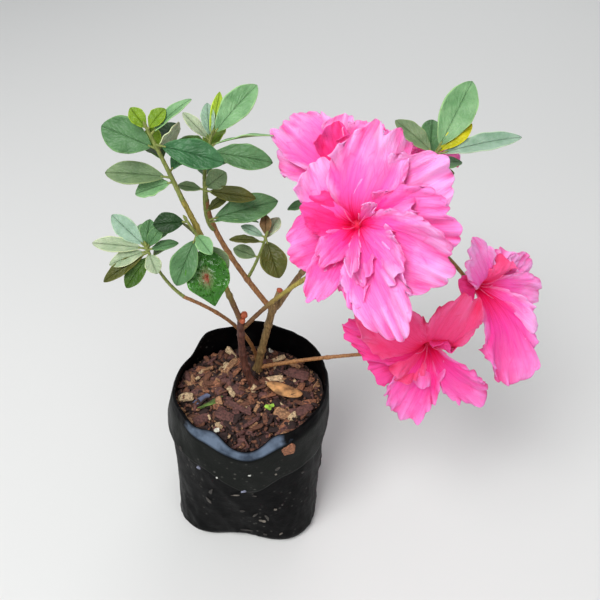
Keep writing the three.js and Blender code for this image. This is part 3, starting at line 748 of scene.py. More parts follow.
loose_draw = seeded(LOOSE_SEED)
laid_leaf = scatter("fallen_leaf", add_scab("lens"), 1, pick_laid, loose_draw, 0.3)
laid_chips = scatter(
    "bark_flakes", add_flake("flat_flake", 3), len(LAID_CHIPS) - 1,
    lambda i, draw: pick_laid(i + 1, draw), loose_draw, 0.25,
)
chips = scatter("bark_chips", add_flake("flake", 1), CHIP_COUNT, pick_chip, loose_draw)
grit = scatter("bark_grit", add_flake("crumb", 0), GRIT_COUNT, pick_grit, loose_draw)
marks = scatter("dried_splashes", add_scab("scab"), len(CLINGING), pick_clinging, loose_draw, 0.7)
for piece in (laid_leaf, laid_chips, chips, grit, marks):
    for tone, colour in CHIP_TONES.items():
        piece.data.materials.append(bpy.data.materials.get(tone) or bark_material(tone, colour))
    weld(piece, 0.0000001)
    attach(piece, "root")


# Stems and boughs: young wood with thin bark, dark red-brown on the oldest stem
# and olive on the next. Three stems rise close together, two of them fork into
# boughs, and each one tapers to where its shoots start.
JOINT_GAP = 0.3
LIMB_SIDES = 8
FLARE_HEIGHT = 6


def seated(on, at, bend, to, girth):
    """A limb or twig that starts on another, at a share of that one's length."""
    return {"on": on, "at": at, "bend": bend, "to": to, "girth": girth}


LIMBS = {
    "main_stem": {
        "from": (3.4, 6, 64.4), "bend": (-3.6, 7.4, 75), "to": (-1.6, 8, 103.4),
        "girth": (1.85, 1.6), "flare": 1.2,
    },
    "right_stem": {
        "from": (3.2, 16.6, 63.5), "bend": (7.6, 14.5, 87), "to": (13, 12, 110.5),
        "girth": (1.95, 1.7), "flare": 1.2,
    },
    "thin_stem": {
        "from": (3.4, 23, 63.1), "bend": (2, 18, 93), "to": (-22.9, 2, 121.6),
        "girth": (1, 0.8), "flare": 0.4,
    },
    "low_bough": seated("right_stem", 0.07, (30, 12, 77.5), (54, 3.4, 88.2), (1.05, 0.85)),
    "left_bough": seated("main_stem", 1, (-12.2, 9, 141), (-19.6, 6, 164.7), (1.35, 1.1)),
    "centre_bough": seated("right_stem", 0.9, (-13.4, 18, 142), (-13, 20, 156), (1.3, 1.05)),
    "bloom_bough": seated("main_stem", 0.86, (14, 4.5, 121), (33, 2.6, 136), (1.1, 0.95)),
    "right_bough": seated("right_stem", 0.8, (34, 20, 140), (55, 22, 153), (1.35, 1.1)),
}
# Places in BARKS.
BARK_OF = {
    "main_stem": 0, "right_stem": 1, "thin_stem": 2, "low_bough": 2,
    "left_bough": 3, "centre_bough": 2, "bloom_bough": 3, "right_bough": 1,
}
COURSE_STEPS = 200


def course(start, bend, end):
    """Points evenly spaced along the curve from start towards bend to end."""
    raw = []
    for i in range(COURSE_STEPS + 1):
        t = i / COURSE_STEPS
        raw.append(start * (1 - t) ** 2 + bend * 2 * t * (1 - t) + end * t * t)
    run = [0]
    for a, b in zip(raw, raw[1:]):
        run.append(run[-1] + (b - a).length)
    points, k = [], 0
    for i in range(COURSE_STEPS + 1):
        wanted = run[-1] * i / COURSE_STEPS
        while k < COURSE_STEPS - 1 and run[k + 1] < wanted:
            k += 1
        points.append(raw[k].lerp(raw[k + 1], (wanted - run[k]) / (run[k + 1] - run[k])))
    return points


def spread_along(path, steps):
    """Points evenly spread along a curve, from end to end."""
    return [on_course(path, i / steps)[0] for i in range(steps + 1)]


def on_course(points, share):
    """The point and the way the curve runs at a share of its length."""
    at = min(max(share, 0), 1) * (len(points) - 1)
    k = min(int(at), len(points) - 2)
    return points[k].lerp(points[k + 1], at - k), (points[k + 1] - points[k]).normalized()


def length_of(path):
    return (path[1] - path[0]).length * COURSE_STEPS


def heading(turn, rise):
    turn, rise = math.radians(turn), math.radians(rise)
    return Vector((math.cos(rise) * math.cos(turn), math.cos(rise) * math.sin(turn), math.sin(rise)))


def flare_at(limb, distance):
    return limb.get("flare", 0) * math.exp(-3 * (distance / FLARE_HEIGHT) ** 2)


def growth(part):
    """The curve of a limb or twig. A seated one starts just clear of its carrier:
    past the carrier's flat tip, or out of its side along the way it grows."""
    bend = Vector(part["bend"])
    end = Vector(part["to"])
    if "from" in part:
        return course(Vector(part["from"]), bend, end)
    carrier = LIMBS[part["on"]]
    path = growth(carrier)
    foot, run = on_course(path, part["at"])
    out = (bend - foot).normalized()
    lean = run.angle(out)
    length = length_of(path)
    wall = mixed(*carrier["girth"], part["at"]) + flare_at(carrier, length * part["at"])
    wall *= math.cos(math.pi / LIMB_SIDES)
    girth = part["girth"][0]
    if part["at"] == 1:
        reach = (JOINT_GAP + girth * math.sin(lean)) / math.cos(lean)
    else:
        reach = (wall + JOINT_GAP + girth * math.cos(lean)) / math.sin(lean)
    return course(foot + out * reach, bend, end)


def new_rods(name, materials):
    """A curve whose splines are round rods, with radii in millimetres."""
    rods = bpy.data.curves.new(name, "CURVE")
    for material in materials:
        rods.materials.append(material)
    rods.dimensions = "3D"
    rods.bevel_depth = MM
    rods.bevel_resolution = 4
    rods.use_fill_caps = True
    return rods


def add_rod(rods, points, radii, finish=0):
    spline = rods.splines.new("POLY")
    spline.points.add(len(points) - 1)
    for knot, point, radius in zip(spline.points, points, radii):
        knot.co = (*(point * MM), 1)
        knot.radius = radius
    spline.material_index = finish
    spline.use_smooth = True


def as_piece(rods):
    """Turns the rods into one mesh piece."""
    choose(placed(rods.name, rods))
    bpy.ops.object.convert(target="MESH")
    piece = bpy.context.object
    weld(piece, 0.0000001)
    return piece


BARKS = {
    "bark_red": ((50, 24, 20), (114, 68, 52)),
    "bark_olive": ((96, 74, 42), (168, 138, 88)),
    "bark_ochre": ((122, 76, 44), (188, 138, 84)),
    "bark_green": ((124, 114, 40), (186, 170, 84)),
    "bud_orange": ((158, 62, 40), (214, 120, 78)),
}
RIPE_BARK = (104, 58, 44)
RIPE_HEIGHT = (112, 124)


def stem_material(name, dark, pale, ripens=False):
    """Bark with fine strands and pores. Green bark that ripens is red-brown low down."""
    material, tree, surface = new_material(name)
    strands = grain(tree, on_object(tree, (1, 1, 0.22)), 1.5, 7.0, 0.7)
    patches = grain(tree, on_object(tree), 0.35, 3.0)
    spots = cells(tree, on_object(tree, (1, 1, 0.6)), 0.8)
    bark = blended(tree, ranged(tree, strands, 0.36, 0.66), tint(*dark), tint(*pale))
    bark = blended(tree, ranged(tree, patches, 0.5, 0.72, 0, 0.5), bark, tint(*dark))
    if ripens:
        height = apart(tree, on_object(tree))["Z"]
        bark = blended(tree, ranged(tree, height, *RIPE_HEIGHT, 0.85, 0), bark, tint(*RIPE_BARK))
    pores = ranged(tree, spots, 0.16, 0.06, 0, 0.7)
    bark = blended(tree, pores, bark, toned(pale, (1.15, 1.15, 1.15)))
    feed(tree, surface, Base_Color=bark, Roughness=0.54)
    embossed(tree, surface, plus(tree, strands, times(tree, pores, 0.3)), 0.35, 0.8)
    return material


BUD_STUBS = [
    {"on": "main_stem", "turn": 14, "rise": 64, "wood": 2.2, "bud": 3.4, "girth": 1.3},
    {"on": "main_stem", "turn": -50, "rise": 40, "wood": 0.6, "bud": 2.6, "girth": 1.1},
    {"on": "right_stem", "turn": 20, "rise": 68, "wood": 6, "bud": 1.8, "girth": 1.15},
]
BUD_FINISH = 4
STEM_RINGS = 110
NODE_RINGS = {
    "main_stem": [0.3, 0.52, 0.8, 0.93], "right_stem": [0.34, 0.7, 0.9], "thin_stem": [0.4, 0.72],
    "low_bough": [0.3, 0.62], "left_bough": [0.22, 0.5, 0.8], "centre_bough": [0.28, 0.55, 0.8],
    "bloom_bough": [0.4, 0.75], "right_bough": [0.3, 0.6, 0.85],
}
RUNS_INTO_SHOOT = ("left_bough", "centre_bough", "right_bough", "thin_stem")
bark_finishes = [
    stem_material(name, *tones, ripens=name == "bark_green") for name, tones in BARKS.items()
]
stem_rods = new_rods("stems_and_boughs", bark_finishes)
for name, limb in LIMBS.items():
    path = growth(limb)
    length = length_of(path)
    points, radii = [], []
    for i in range(STEM_RINGS + 1):
        share = i / STEM_RINGS
        spot, _ = on_course(path, share)
        knots = sum(hump((share - at) * length, 1.1) for at in NODE_RINGS[name])
        radius = mixed(*limb["girth"], share) + flare_at(limb, share * length)
        points.append(spot)
        radii.append(radius * (0.96 + 0.2 * knots + 0.06 * noise.noise(spot * 0.5)))
    if "flare" in limb:
        points.insert(0, points[0] - Vector((0, 0, 1.4)))
        radii.insert(0, radii[0] * 1.15)
    else:
        back = (points[0] - points[1]).normalized()
        foot, girth = points[0], radii[0]
        for depth, share in ((1, 0.98), (2.4, 0.8), (3.4, 0.5)):
            points.insert(0, foot + back * depth)
            radii.insert(0, girth * share)
    if name in RUNS_INTO_SHOOT:
        points.append(points[-1] + (points[-1] - points[-2]).normalized())
        radii.append(radii[-1])
    add_rod(stem_rods, points, radii, BARK_OF[name])
for bud in BUD_STUBS:
    foot, _ = on_course(growth(LIMBS[bud["on"]]), 1)
    out = heading(bud["turn"], bud["rise"])
    top = foot + out * bud["wood"]
    add_rod(stem_rods, [foot - out, foot, top], [bud["girth"]] * 3, BARK_OF[bud["on"]])
    steps = [k / 8 for k in range(9)]
    radii = [bud["girth"] * (0.85 + 0.5 * math.sin(math.pi * t) - 0.7 * t ** 3) for t in steps]
    add_rod(stem_rods, [top + out * bud["bud"] * t for t in steps], radii, BUD_FINISH)

stems = as_piece(stem_rods)
for vertex in stems.data.vertices:
    spot = vertex.co / MM
    fibre = Vector((spot.x * 0.9, spot.y * 0.9, spot.z * 0.16))
    ridges = noise.ridged_multi_fractal(fibre, 0.9, 2.2, 4, 0.9, 2)
    vertex.co += vertex.normal * (ridges * 0.1 - 0.1) * MM
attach(stems, "root")
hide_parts(*LIMBS)


# Foliage grows in shoots: a green twig that carries its leaves on short stalks,
# crowded towards the tip, with a scaly bud at the end. Each shoot grows on from
# the end or the side of a bough.
LEAF_STALK = 0.1
STALK_SHARE = 0.16
TWIG_STEPS = 40
LEAF_STALK_GIRTH = (0.55, 0.3)
BUD_STEPS = (-0.4, 0.2, 0.8, 1.5, 2.1, 2.4)
BUD_GIRTHS = (0.35, 0.6, 0.7, 0.55, 0.3, 0.08)
DROOP = 0.16
# Each leaf has its place along the twig, turn, rise, length, width, tilt and tone.
SHOOTS = {
    "foliage_top_left": {
        "twig": seated("left_bough", 1, (-23.5, 5, 179), (-29, 6, 194), (1, 0.6)),
        "leaves": [
            (0.72, 166, 18, 21.5, 13, 55, "mid"), (0.33, 177, 4, 24.5, 9, 40, "dull"),
            (0.27, -172, -14, 15, 8, 30, "light"), (0.97, 145, 42, 9.5, 5.5, 45, "young"),
            (0.97, 28, 42, 9.5, 5.5, 40, "young"), (0.66, 120, 40, 11, 6, 40, "young"),
            (0.74, 31, 36, 12, 7.5, 130, "pale"), (0.9, 21, 36, 19, 4.8, 20, "light"),
            (0.78, -9, -11, 25, 10.4, 48, "dark"), (0.7, 75, 12, 17, 8, 10, "shade"),
            (0.55, 115, 2, 19, 8.5, 5, "moss"), (0.4, 60, 18, 15, 7, 15, "dark"),
        ],
    },
    "foliage_top_centre": {
        "twig": seated("centre_bough", 1, (-14, 20, 171), (-8.6, 20.4, 184.5), (0.95, 0.55)),
        "leaves": [
            (0.96, 36, 36, 26, 10.6, 50, "light"), (0.9, 72, 49, 19, 4.4, 110, "lime"),
            (0.92, 98, 50, 14, 5.4, 50, "grey"), (0.9, 150, 38, 14.5, 4.6, 35, "pale"),
            (0.8, 170, 12, 12, 3.8, 20, "moss"), (0.82, 7, 9, 25, 5.5, -25, "light"),
            (0.74, -5, -7, 25, 9.6, 45, "mid"), (0.7, 78, 16, 19, 8.5, 10, "young"),
            (0.6, 120, 8, 20, 8.5, 5, "moss"), (0.5, 35, 2, 17, 7.5, 15, "mid"),
            (0.35, 95, -6, 18, 8, 0, "mid"),
        ],
    },
    "foliage_centre": {
        "twig": seated("centre_bough", 0.74, (-14, 12, 152), (-12.6, 15, 165.4), (0.75, 0.5)),
        "leaves": [
            (0.97, 21, 30, 10.5, 8, 55, "dull"), (0.93, -5, -6, 20, 6.4, 45, "olive"),
            (0.95, 172, 7, 10.5, 4, 30, "dull"), (0.3, 11, 12, 29, 11.4, 45, "mid"),
            (0.25, 4, 0, 20, 6.4, -10, "mid"), (0.5, 25, 27, 11, 4, 30, "olive"),
        ],
    },
    "foliage_low_centre": {
        "twig": seated("left_bough", 0.58, (-13.6, 2.4, 148), (-18.4, 2, 159), (0.75, 0.5)),
        "leaves": [
            (0.95, -177, -3, 13, 8, 45, "shade"), (0.35, 168, 44, 17, 5, -30, "olive"),
            (0.55, -128, -50, 21, 10.4, 50, "mid"), (0.3, -72, -52, 25, 17, 50, "wet"),
            (0.25, -24, -42, 14, 8, 40, "dull"), (0.6, -55, -12, 12, 6, 30, "light"),
        ],
    },
    "foliage_left": {
        "twig": seated("thin_stem", 1, (-31.5, 0.8, 131), (-34.6, 0, 148.6), (0.75, 0.5)),
        "leaves": [
            (0.97, 150, 32, 18.5, 7.8, 50, "grey"), (0.97, 81, 50, 11, 6.4, 50, "mid"),
            (0.97, 30, 46, 10.5, 5.2, 45, "mid"), (0.95, 176, 5, 21.5, 6, 40, "pale"),
            (0.92, -167, -15, 16, 5.8, 40, "pale"), (0.9, -158, -25, 21, 5.6, 35, "olive"),
            (0.86, -140, -40, 16, 7, 50, "moss"), (0.9, -59, -46, 9, 6.4, 50, "pale"),
            (0.93, 9, 11, 12, 4.4, 25, "mid"), (0.95, 48, 24, 14, 5, 15, "mid"),
            (0.88, 110, 12, 17, 6.5, 10, "light"), (0.8, 65, -4, 15, 6, 5, "dull"),
        ],
    },
    "foliage_right_of_stem": {
        "twig": seated("centre_bough", 0.28, (7.4, 12.4, 134), (10.6, 12.4, 145), (0.75, 0.5)),
        "leaves": [
            (0.97, 92, 50, 9, 4.6, 40, "dry"), (0.95, 162, 20, 11, 4, 30, "grey"),
            (0.85, -179, 8, 14, 4, 15, "olive"), (0.95, -62, -46, 17, 10.6, 50, "olive"),
            (0.5, 165, 14, 11, 6, 40, "dull"), (0.9, 60, 24, 12, 6, 10, "pale"),
        ],
    },
    "foliage_right": {
        "twig": seated("right_bough", 1, (66, 23, 160), (76.4, 23.6, 176), (1, 0.6)),
        "leaves": [
            (0.97, 50, 45, 31, 13.4, 50, "light"), (0.97, 26, 30, 18, 6.6, 45, "yellow"),
            (0.93, 8, 10, 35, 7.6, 35, "grey"), (0.95, 36, 18, 14, 5, 10, "yellow"),
            (0.95, 150, 31, 20, 8, 40, "dull"), (0.5, -4, -12, 14, 4.4, 20, "pale"),
            (0.85, 80, 22, 22, 9, 10, "mid"), (0.72, 24, -2, 19, 7.5, 15, "mid"),
            (0.6, -12, 12, 15, 6, 20, "olive"),
        ],
    },
    "foliage_back": {
        "twig": seated("right_bough", 0.5, (31, 32, 146), (34, 37, 158), (0.9, 0.55)),
        "leaves": [
            (0.97, 100, 30, 18, 8, 10, "mid"), (0.97, 20, 34, 15, 7, 20, "light"),
            (0.95, 160, 22, 17, 7.5, 20, "mid"), (0.9, 55, 6, 20, 8.5, 5, "dark"),
            (0.85, 130, -2, 19, 8, 0, "mid"), (0.6, 15, -6, 17, 7.5, 10, "dark"),
            (0.6, 175, -12, 14, 7, 10, "mid"), (0.45, 90, -14, 17, 7.5, 0, "dark"),
        ],
    },
}
TWIG_GREEN = ((96, 112, 44), (152, 160, 84))


def leaf_frame(base, turn, rise, length, tilt):
    """The leaf's spine, and the ways its face and its side point."""
    along = heading(turn, rise)
    lean = Vector((0, -math.sin(math.radians(tilt)), math.cos(math.radians(tilt))))
    face = (lean - along * lean.dot(along)).normalized()
    droop = length * DROOP

    def spine(share):
        sag = droop * share * (1 - share) * 1.6 - droop * share * 0.2
        return base + along * length * share + face * sag

    return spine, face, along.cross(face)


twig_finish = stem_material("twig_green", *TWIG_GREEN)
for name, shoot in SHOOTS.items():
    path = growth(shoot["twig"])
    rods = new_rods(name + "_twigs", [twig_finish])
    points = spread_along(path, TWIG_STEPS)
    radii = [
        mixed(*shoot["twig"]["girth"], i / TWIG_STEPS) * (1 + 0.1 * noise.noise(point))
        for i, point in enumerate(points)
    ]
    add_rod(rods, points, radii)
    run = (points[-1] - points[-2]).normalized()
    bud = [points[-1] + run * step for step in BUD_STEPS]
    add_rod(rods, bud, BUD_GIRTHS)
    for share, turn, rise, length, _, tilt, _ in shoot["leaves"]:
        spine, _, _ = leaf_frame(on_course(path, share)[0], turn, rise, length, tilt)
        stalk = [spine(STALK_SHARE * i / 8) for i in range(9)]
        add_rod(rods, stalk, [mixed(*LEAF_STALK_GIRTH, i / 8) for i in range(9)])
    piece = as_piece(rods)
    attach(piece, "root")
    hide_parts(name)


# Leaves are leathery blades, glossy above and paler and duller beneath, with a
# sunk midrib, a faint net of veins, a thin pale edge and a small drawn-out tip.
LEAF_COLUMNS = 18
LEAF_ROWS = 28
LEAF_THICKNESS = 0.32
LEAF_SEED = 5
LEAF_WAVE = 0.055
LEAF_OUTLINE = (1.16, 0.06)
WET_OUTLINE = (0.92, 0.6)
NARROWEST = 0.12
# For each leaf tone the colours above and beneath, and the roughness above.
LEAF_TONES = {
    "mid": ((82, 126, 78), (118, 146, 96), 0.4),
    "dark": ((54, 106, 62), (96, 128, 78), 0.38),
    # The shade tone is painted shade: a darker copy of the green for leaves that sit in shadow under
    # others.
    "shade": ((20, 56, 14), (70, 98, 50), 0.42),
    "moss": ((58, 94, 18), (96, 122, 54), 0.4),
    "light": ((120, 168, 114), (136, 164, 108), 0.42),
    "dull": ((108, 134, 92), (132, 150, 104), 0.46),
    "pale": ((162, 182, 146), (156, 172, 126), 0.46),
    # The grey tone is partly the leaf's own paler green and partly a painted sheen, a pale blue-green
    # for the sky's bluish reflection.
    "grey": ((142, 176, 150), (138, 162, 128), 0.44),
    "young": ((118, 154, 30), (140, 170, 44), 0.4),
    "lime": ((160, 194, 52), (160, 188, 60), 0.4),
    "yellow": ((192, 190, 4), (190, 192, 40), 0.38),
    "olive": ((76, 82, 26), (104, 110, 60), 0.4),
    "wet": ((52, 108, 34), (88, 120, 70), 0.12),
    "dry": ((120, 96, 60), (144, 112, 74), 0.5),
}
DULLER_BENEATH = 0.2
WET_GLOSS = 0.2
WET_SPOT = (0.56, 0.5, 0)


def vein_group():
    """Masks for a blade's midrib, its side veins and its edge, from its UV map."""
    group, given, end = new_group("blade_veins", "UV", (), ("Midrib", "Veins", "Edge", "Quilt"))
    ways = apart(group, given["UV"])
    off = away(group, ways["X"], 0.5)
    slope = times(group, figured(group, "POWER", off, 0.8), 0.62)
    stirred = ranged(group, grain(group, given["UV"], 5.0, 2.0), 0.3, 0.7, -0.07, 0.07)
    phase = times(group, figured(group, "SUBTRACT", ways["Y"], plus(group, slope, stirred)), 7.0)
    saw = away(group, figured(group, "FRACT", phase), 0.5)
    veins = times(group, ranged(group, saw, 0.07, 0.0), ranged(group, off, 0.42, 0.1))
    midrib = ranged(group, off, 0.035, 0.008)
    feed(group, end, Midrib=midrib, Veins=veins, Quilt=saw, Edge=ranged(group, off, 0.455, 0.49))
    return group


VEINS = vein_group()


def leaf_material(name, colour, gloss, above):
    """A blade's upper or under side. The glossiest one is wet and has a stain."""
    material, tree, surface = new_material(name)
    wet = above and gloss < WET_GLOSS
    uv = on_sheet(tree)
    veins = grouped(tree, VEINS, UV=uv)
    place = on_object(tree)
    mottle = grain(tree, place, 0.16, 4.0)
    fine = grain(tree, place, 1.6, 3.0)
    dark = toned(colour, (0.84, 0.88, 0.84))
    blade = blended(tree, ranged(tree, mottle, 0.3, 0.7), dark, toned(colour, (1.14, 1.08, 1.12)))
    blade = blended(tree, times(tree, veins["Veins"], 0.3), blade, dark)
    light_rib = toned(colour, (1.3, 1.2, 1.2), (20, 20, 10))
    rib = toned(colour, (0.62, 0.72, 0.6)) if above else light_rib
    blade = blended(tree, times(tree, veins["Midrib"], 0.16), blade, rib)
    blade = blended(tree, times(tree, veins["Edge"], 0.7), blade, light_rib)
    relief = plus(tree, times(tree, veins["Quilt"], 0.5), times(tree, fine, 0.12))
    relief = plus(tree, relief, times(tree, mottle, 2.4))
    relief = figured(tree, "SUBTRACT", relief, times(tree, veins["Midrib"], 0.6))
    if wet:
        off_spot = shade(tree, "ShaderNodeVectorMath", i0=uv, i1=WET_SPOT)
        off_spot.operation = "DISTANCE"
        stained = plus(tree, off_spot.outputs["Value"], ranged(tree, fine, 0.3, 0.7, -0.05, 0.05))
        blade = blended(tree, ranged(tree, stained, 0.24, 0.1, 0, 0.75), blade, tint(118, 122, 84))
        blade = blended(tree, ranged(tree, stained, 0.11, 0.04, 0, 0.9), blade, tint(140, 62, 44))
        relief = plus(tree, relief, ranged(tree, cells(tree, place, 0.62), 0.42, 0.05, 0, 1.6))
    feed(
        tree, surface, Base_Color=blade, Roughness=ranged(tree, fine, 0.3, 0.7, gloss, gloss + 0.12),
        Specular_IOR_Level=0.34 if above else 0.2,
        Subsurface_Weight=0.05, Subsurface_Radius=(0.0012, 0.002, 0.0005),
    )
    embossed(tree, surface, relief, 0.55 if above else -0.45, 0.9)
    return material


def blade_half(width, share, fullest, point):
    """Half a blade's width at a share of its length from the stalk's foot. Below
    1, fullest moves its widest place to the stalk, and point draws out the tip."""
    t = max((share - LEAF_STALK) / (1 - LEAF_STALK), 0)
    outline = max(math.sin(math.pi * t ** fullest), 0) ** 0.66
    return width / 2 * outline * (1 - point * eased(0.6, 1.1, t))


def join(pieces, name):
    choose(pieces[0])
    for piece in pieces:
        piece.select_set(True)
    bpy.ops.object.join()
    pieces[0].name = name
    pieces[0].data.name = name
    return pieces[0]


def leaf_blade(base, leaf, draw):
    """One blade over its spine: troughed, with a waved edge and a curled tip."""
    _, turn, rise, length, width, tilt, tone = leaf
    spine, face, side = leaf_frame(base, turn, rise, length, tilt)
    waves, shift, trough = 1.5 + draw() * 2, draw() * FULL_TURN, 0.16 + 0.14 * draw()
    twist = (draw() - 0.5) * 0.35
    fullest, point = WET_OUTLINE if tone == "wet" else LEAF_OUTLINE

    def rule(u, v):
        across = (2 * u - 1) * abs(2 * u - 1) ** 0.15
        share = LEAF_STALK + (1 - LEAF_STALK) * v
        half = max(blade_half(width, min(share, 0.9999), fullest, point), NARROWEST)
        lift = half * trough * abs(across) ** 1.4
        edge = math.sin(v * waves * FULL_TURN + shift + (1.6 if across > 0 else 0))
        edge *= LEAF_WAVE * width * across * across * math.sin(math.pi * min(v * 1.1, 1))
        rib = -0.25 * hump(across, 0.08) * math.sin(math.pi * v)
        turned = face * math.cos(twist * v) + side * math.sin(twist * v)
        flank = side * math.cos(twist * v) - face * math.sin(twist * v)
        return spine(share) + flank * half * across + turned * (lift + edge + rib)

    sheet = add_sheet("blade", LEAF_COLUMNS, LEAF_ROWS)
    reshape(sheet, rule)
    for finish in leaf_finishes[tone]:
        sheet.data.materials.append(finish)
    return sheet


leaf_finishes = {
    tone: (
        leaf_material("leaf_" + tone, above, gloss, True),
        leaf_material("leaf_" + tone + "_beneath", beneath, gloss + DULLER_BENEATH, False),
    )
    for tone, (above, beneath, gloss) in LEAF_TONES.items()
}
leaf_draw = seeded(LEAF_SEED)
for name, shoot in SHOOTS.items():
    path = growth(shoot["twig"])
    blades = []
    for leaf in shoot["leaves"]:
        blade = leaf_blade(on_course(path, leaf[0])[0], leaf, leaf_draw)
        apply(
            blade, "SOLIDIFY", thickness=LEAF_THICKNESS * MM, offset=-1,
            material_offset=1, material_offset_rim=0,
        )
        blades.append(blade)
    leaves = join(blades, name + "_leaves")
    bpy.ops.object.shade_smooth()
    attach(leaves, "root")
    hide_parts(name)


# Blooms are semi-double: ruffled petals flare from a short tube, outer ones laid
# open and inner ones standing, bright pink with a deep throat, fine veins and a
# paler edge. Each stands on a thin stalk with a small green calyx.
BLOOM_SEED = 7
FRILL_SEED = 60
STALK_GIRTH = (0.95, 0.8)
STALK_STEPS = 30
TUBE_LENGTH = 9
PETAL_THICKNESS = 0.34
PETAL_START = 14
PETAL_ROOT = 0.14
SPINE_STEPS = 24
LAP = 0.1
PETAL_SINK = 4
FRILL = 0.55
BILLOW = 0.8
FLUTE = 0.8
RIPPLE = 0.3
ROLL = 0.8
TROUGH = 0.8
LOBE_SWAY = 0.035
SCALLOP = 0.036
TEAR_DEPTH = 0.07
TEAR_HALF = 1.6
PETAL_COLUMNS = 52
PETAL_ROWS = 46
# Each petal has its turn round the throat, how far it opens, its length, width,
# ruffle and tone.
BLOOMS = {
    "bloom_main": {
        "throat": (43.5, -13, 166.5), "turn": -112, "rise": 30,
        "stalk": {"on": "bloom_bough", "at": 1, "bend": (40, 3, 148)},
        "petals": [
            (12, 86, 38, 26, 2.6, "mid"), (40, 98, 39, 26, 2.8, "pale"),
            (128, 84, 25, 24, 2.4, "pale"), (214, 84, 25, 22, 2.4, "mid"),
            (256, 80, 32, 13, 2, "mid"), (288, 74, 31, 14, 2.8, "mid"),
            (310, 82, 45, 21, 2.4, "pale"), (348, 88, 41, 25, 2.6, "pale"),
            (80, 76, 37, 25, 3.4, "pale"), (28, 66, 26, 16, 3, "mid"),
            (168, 58, 20, 15, 2.4, "deep"), (246, 50, 20, 12, 2, "mid"),
            (304, 54, 24, 13, 2.6, "mid"), (328, 62, 31, 20, 3.2, "pale"),
            (294, 44, 25, 5, 2, "pale"), (50, 40, 19, 4.6, 1.8, "pale"),
        ],
    },
    "bloom_top": {
        "throat": (41, 14, 170.5), "turn": -128, "rise": 50,
        "stalk": {"on": "right_bough", "at": 0.88, "bend": (47, 20.4, 161)},
        "petals": [
            (160, 88, 34, 22, 2.6, "pale"), (186, 84, 27, 20, 2.2, "pale"),
            (104, 76, 21, 20, 2.6, "pale"), (64, 74, 22, 20, 2.6, "pale"),
            (28, 84, 26, 20, 2.4, "mid"), (126, 50, 19, 14, 3, "deep"),
            (80, 48, 16, 12, 2.6, "deep"),
        ],
    },
    "bloom_low": {
        "throat": (77.5, -7, 103), "turn": -96, "rise": 6,
        "stalk": {"on": "low_bough", "at": 1, "bend": (64, 3, 92)},
        "petals": [
            (72, 84, 38, 20, 2.2, "coral"), (136, 92, 44, 24, 2.2, "coral"),
            (158, 94, 40, 20, 2.4, "deep"), (196, 86, 26, 18, 2.4, "deep"),
            (251, 86, 35, 21, 2.6, "mid"), (323, 84, 34, 16, 2.6, "mid"),
            (48, 44, 14, 12, 2.4, "deep"), (210, 52, 20, 14, 2.4, "coral"),
            (268, 46, 17, 14, 2.4, "mid"),
        ],
    },
    "bloom_right": {
        "throat": (96.5, 1, 128), "turn": -62, "rise": 14,
        "stalk": {"on": "right_bough", "at": 0.93, "bend": (74, 15, 148)},
        "petals": [
            # The first four petals take the pale tone partly as painted light, making up for the
            # shade they face down into.
            (116, 84, 29, 14, 2, "pale"), (48, 80, 18, 16, 2.4, "pale"),
            (14, 80, 22, 21, 2.4, "pale"), (338, 78, 25, 20, 2.6, "pale"),
            (278, 84, 44, 21, 2.6, "mid"), (62, 50, 16, 14, 2.6, "coral"),
            (304, 64, 28, 15, 2.8, "pale"), (150, 70, 16, 14, 2, "deep"),
        ],
    },
    "bloom_back": {
        "throat": (63, 42, 155), "turn": 68, "rise": 26,
        "stalk": {"on": "right_bough", "at": 0.8, "bend": (54, 32, 152)},
        "petals": [
            (92, 76, 18, 20, 2.4, "mid"), (164, 84, 27, 22, 2.4, "mid"),
            (236, 84, 29, 23, 2.6, "pale"), (308, 84, 29, 23, 2.4, "mid"),
            (20, 82, 26, 22, 2.6, "mid"), (60, 54, 19, 14, 2.8, "deep"),
            (200, 54, 20, 14, 2.4, "mid"),
        ],
    },
}
# For each petal tone the colours of its throat, of its veins and the painted shade in its folds, of
# its body and of its lip.
PETAL_TONES = {
    "mid": ((240, 4, 88), (246, 28, 128), (255, 66, 166), (255, 148, 218)),
    "pale": ((244, 10, 100), (250, 50, 150), (255, 96, 188), (255, 178, 234)),
    "deep": ((222, 0, 62), (236, 12, 96), (250, 38, 130), (255, 90, 176)),
    "coral": ((240, 8, 76), (244, 34, 100), (252, 62, 130), (255, 106, 164)),
}


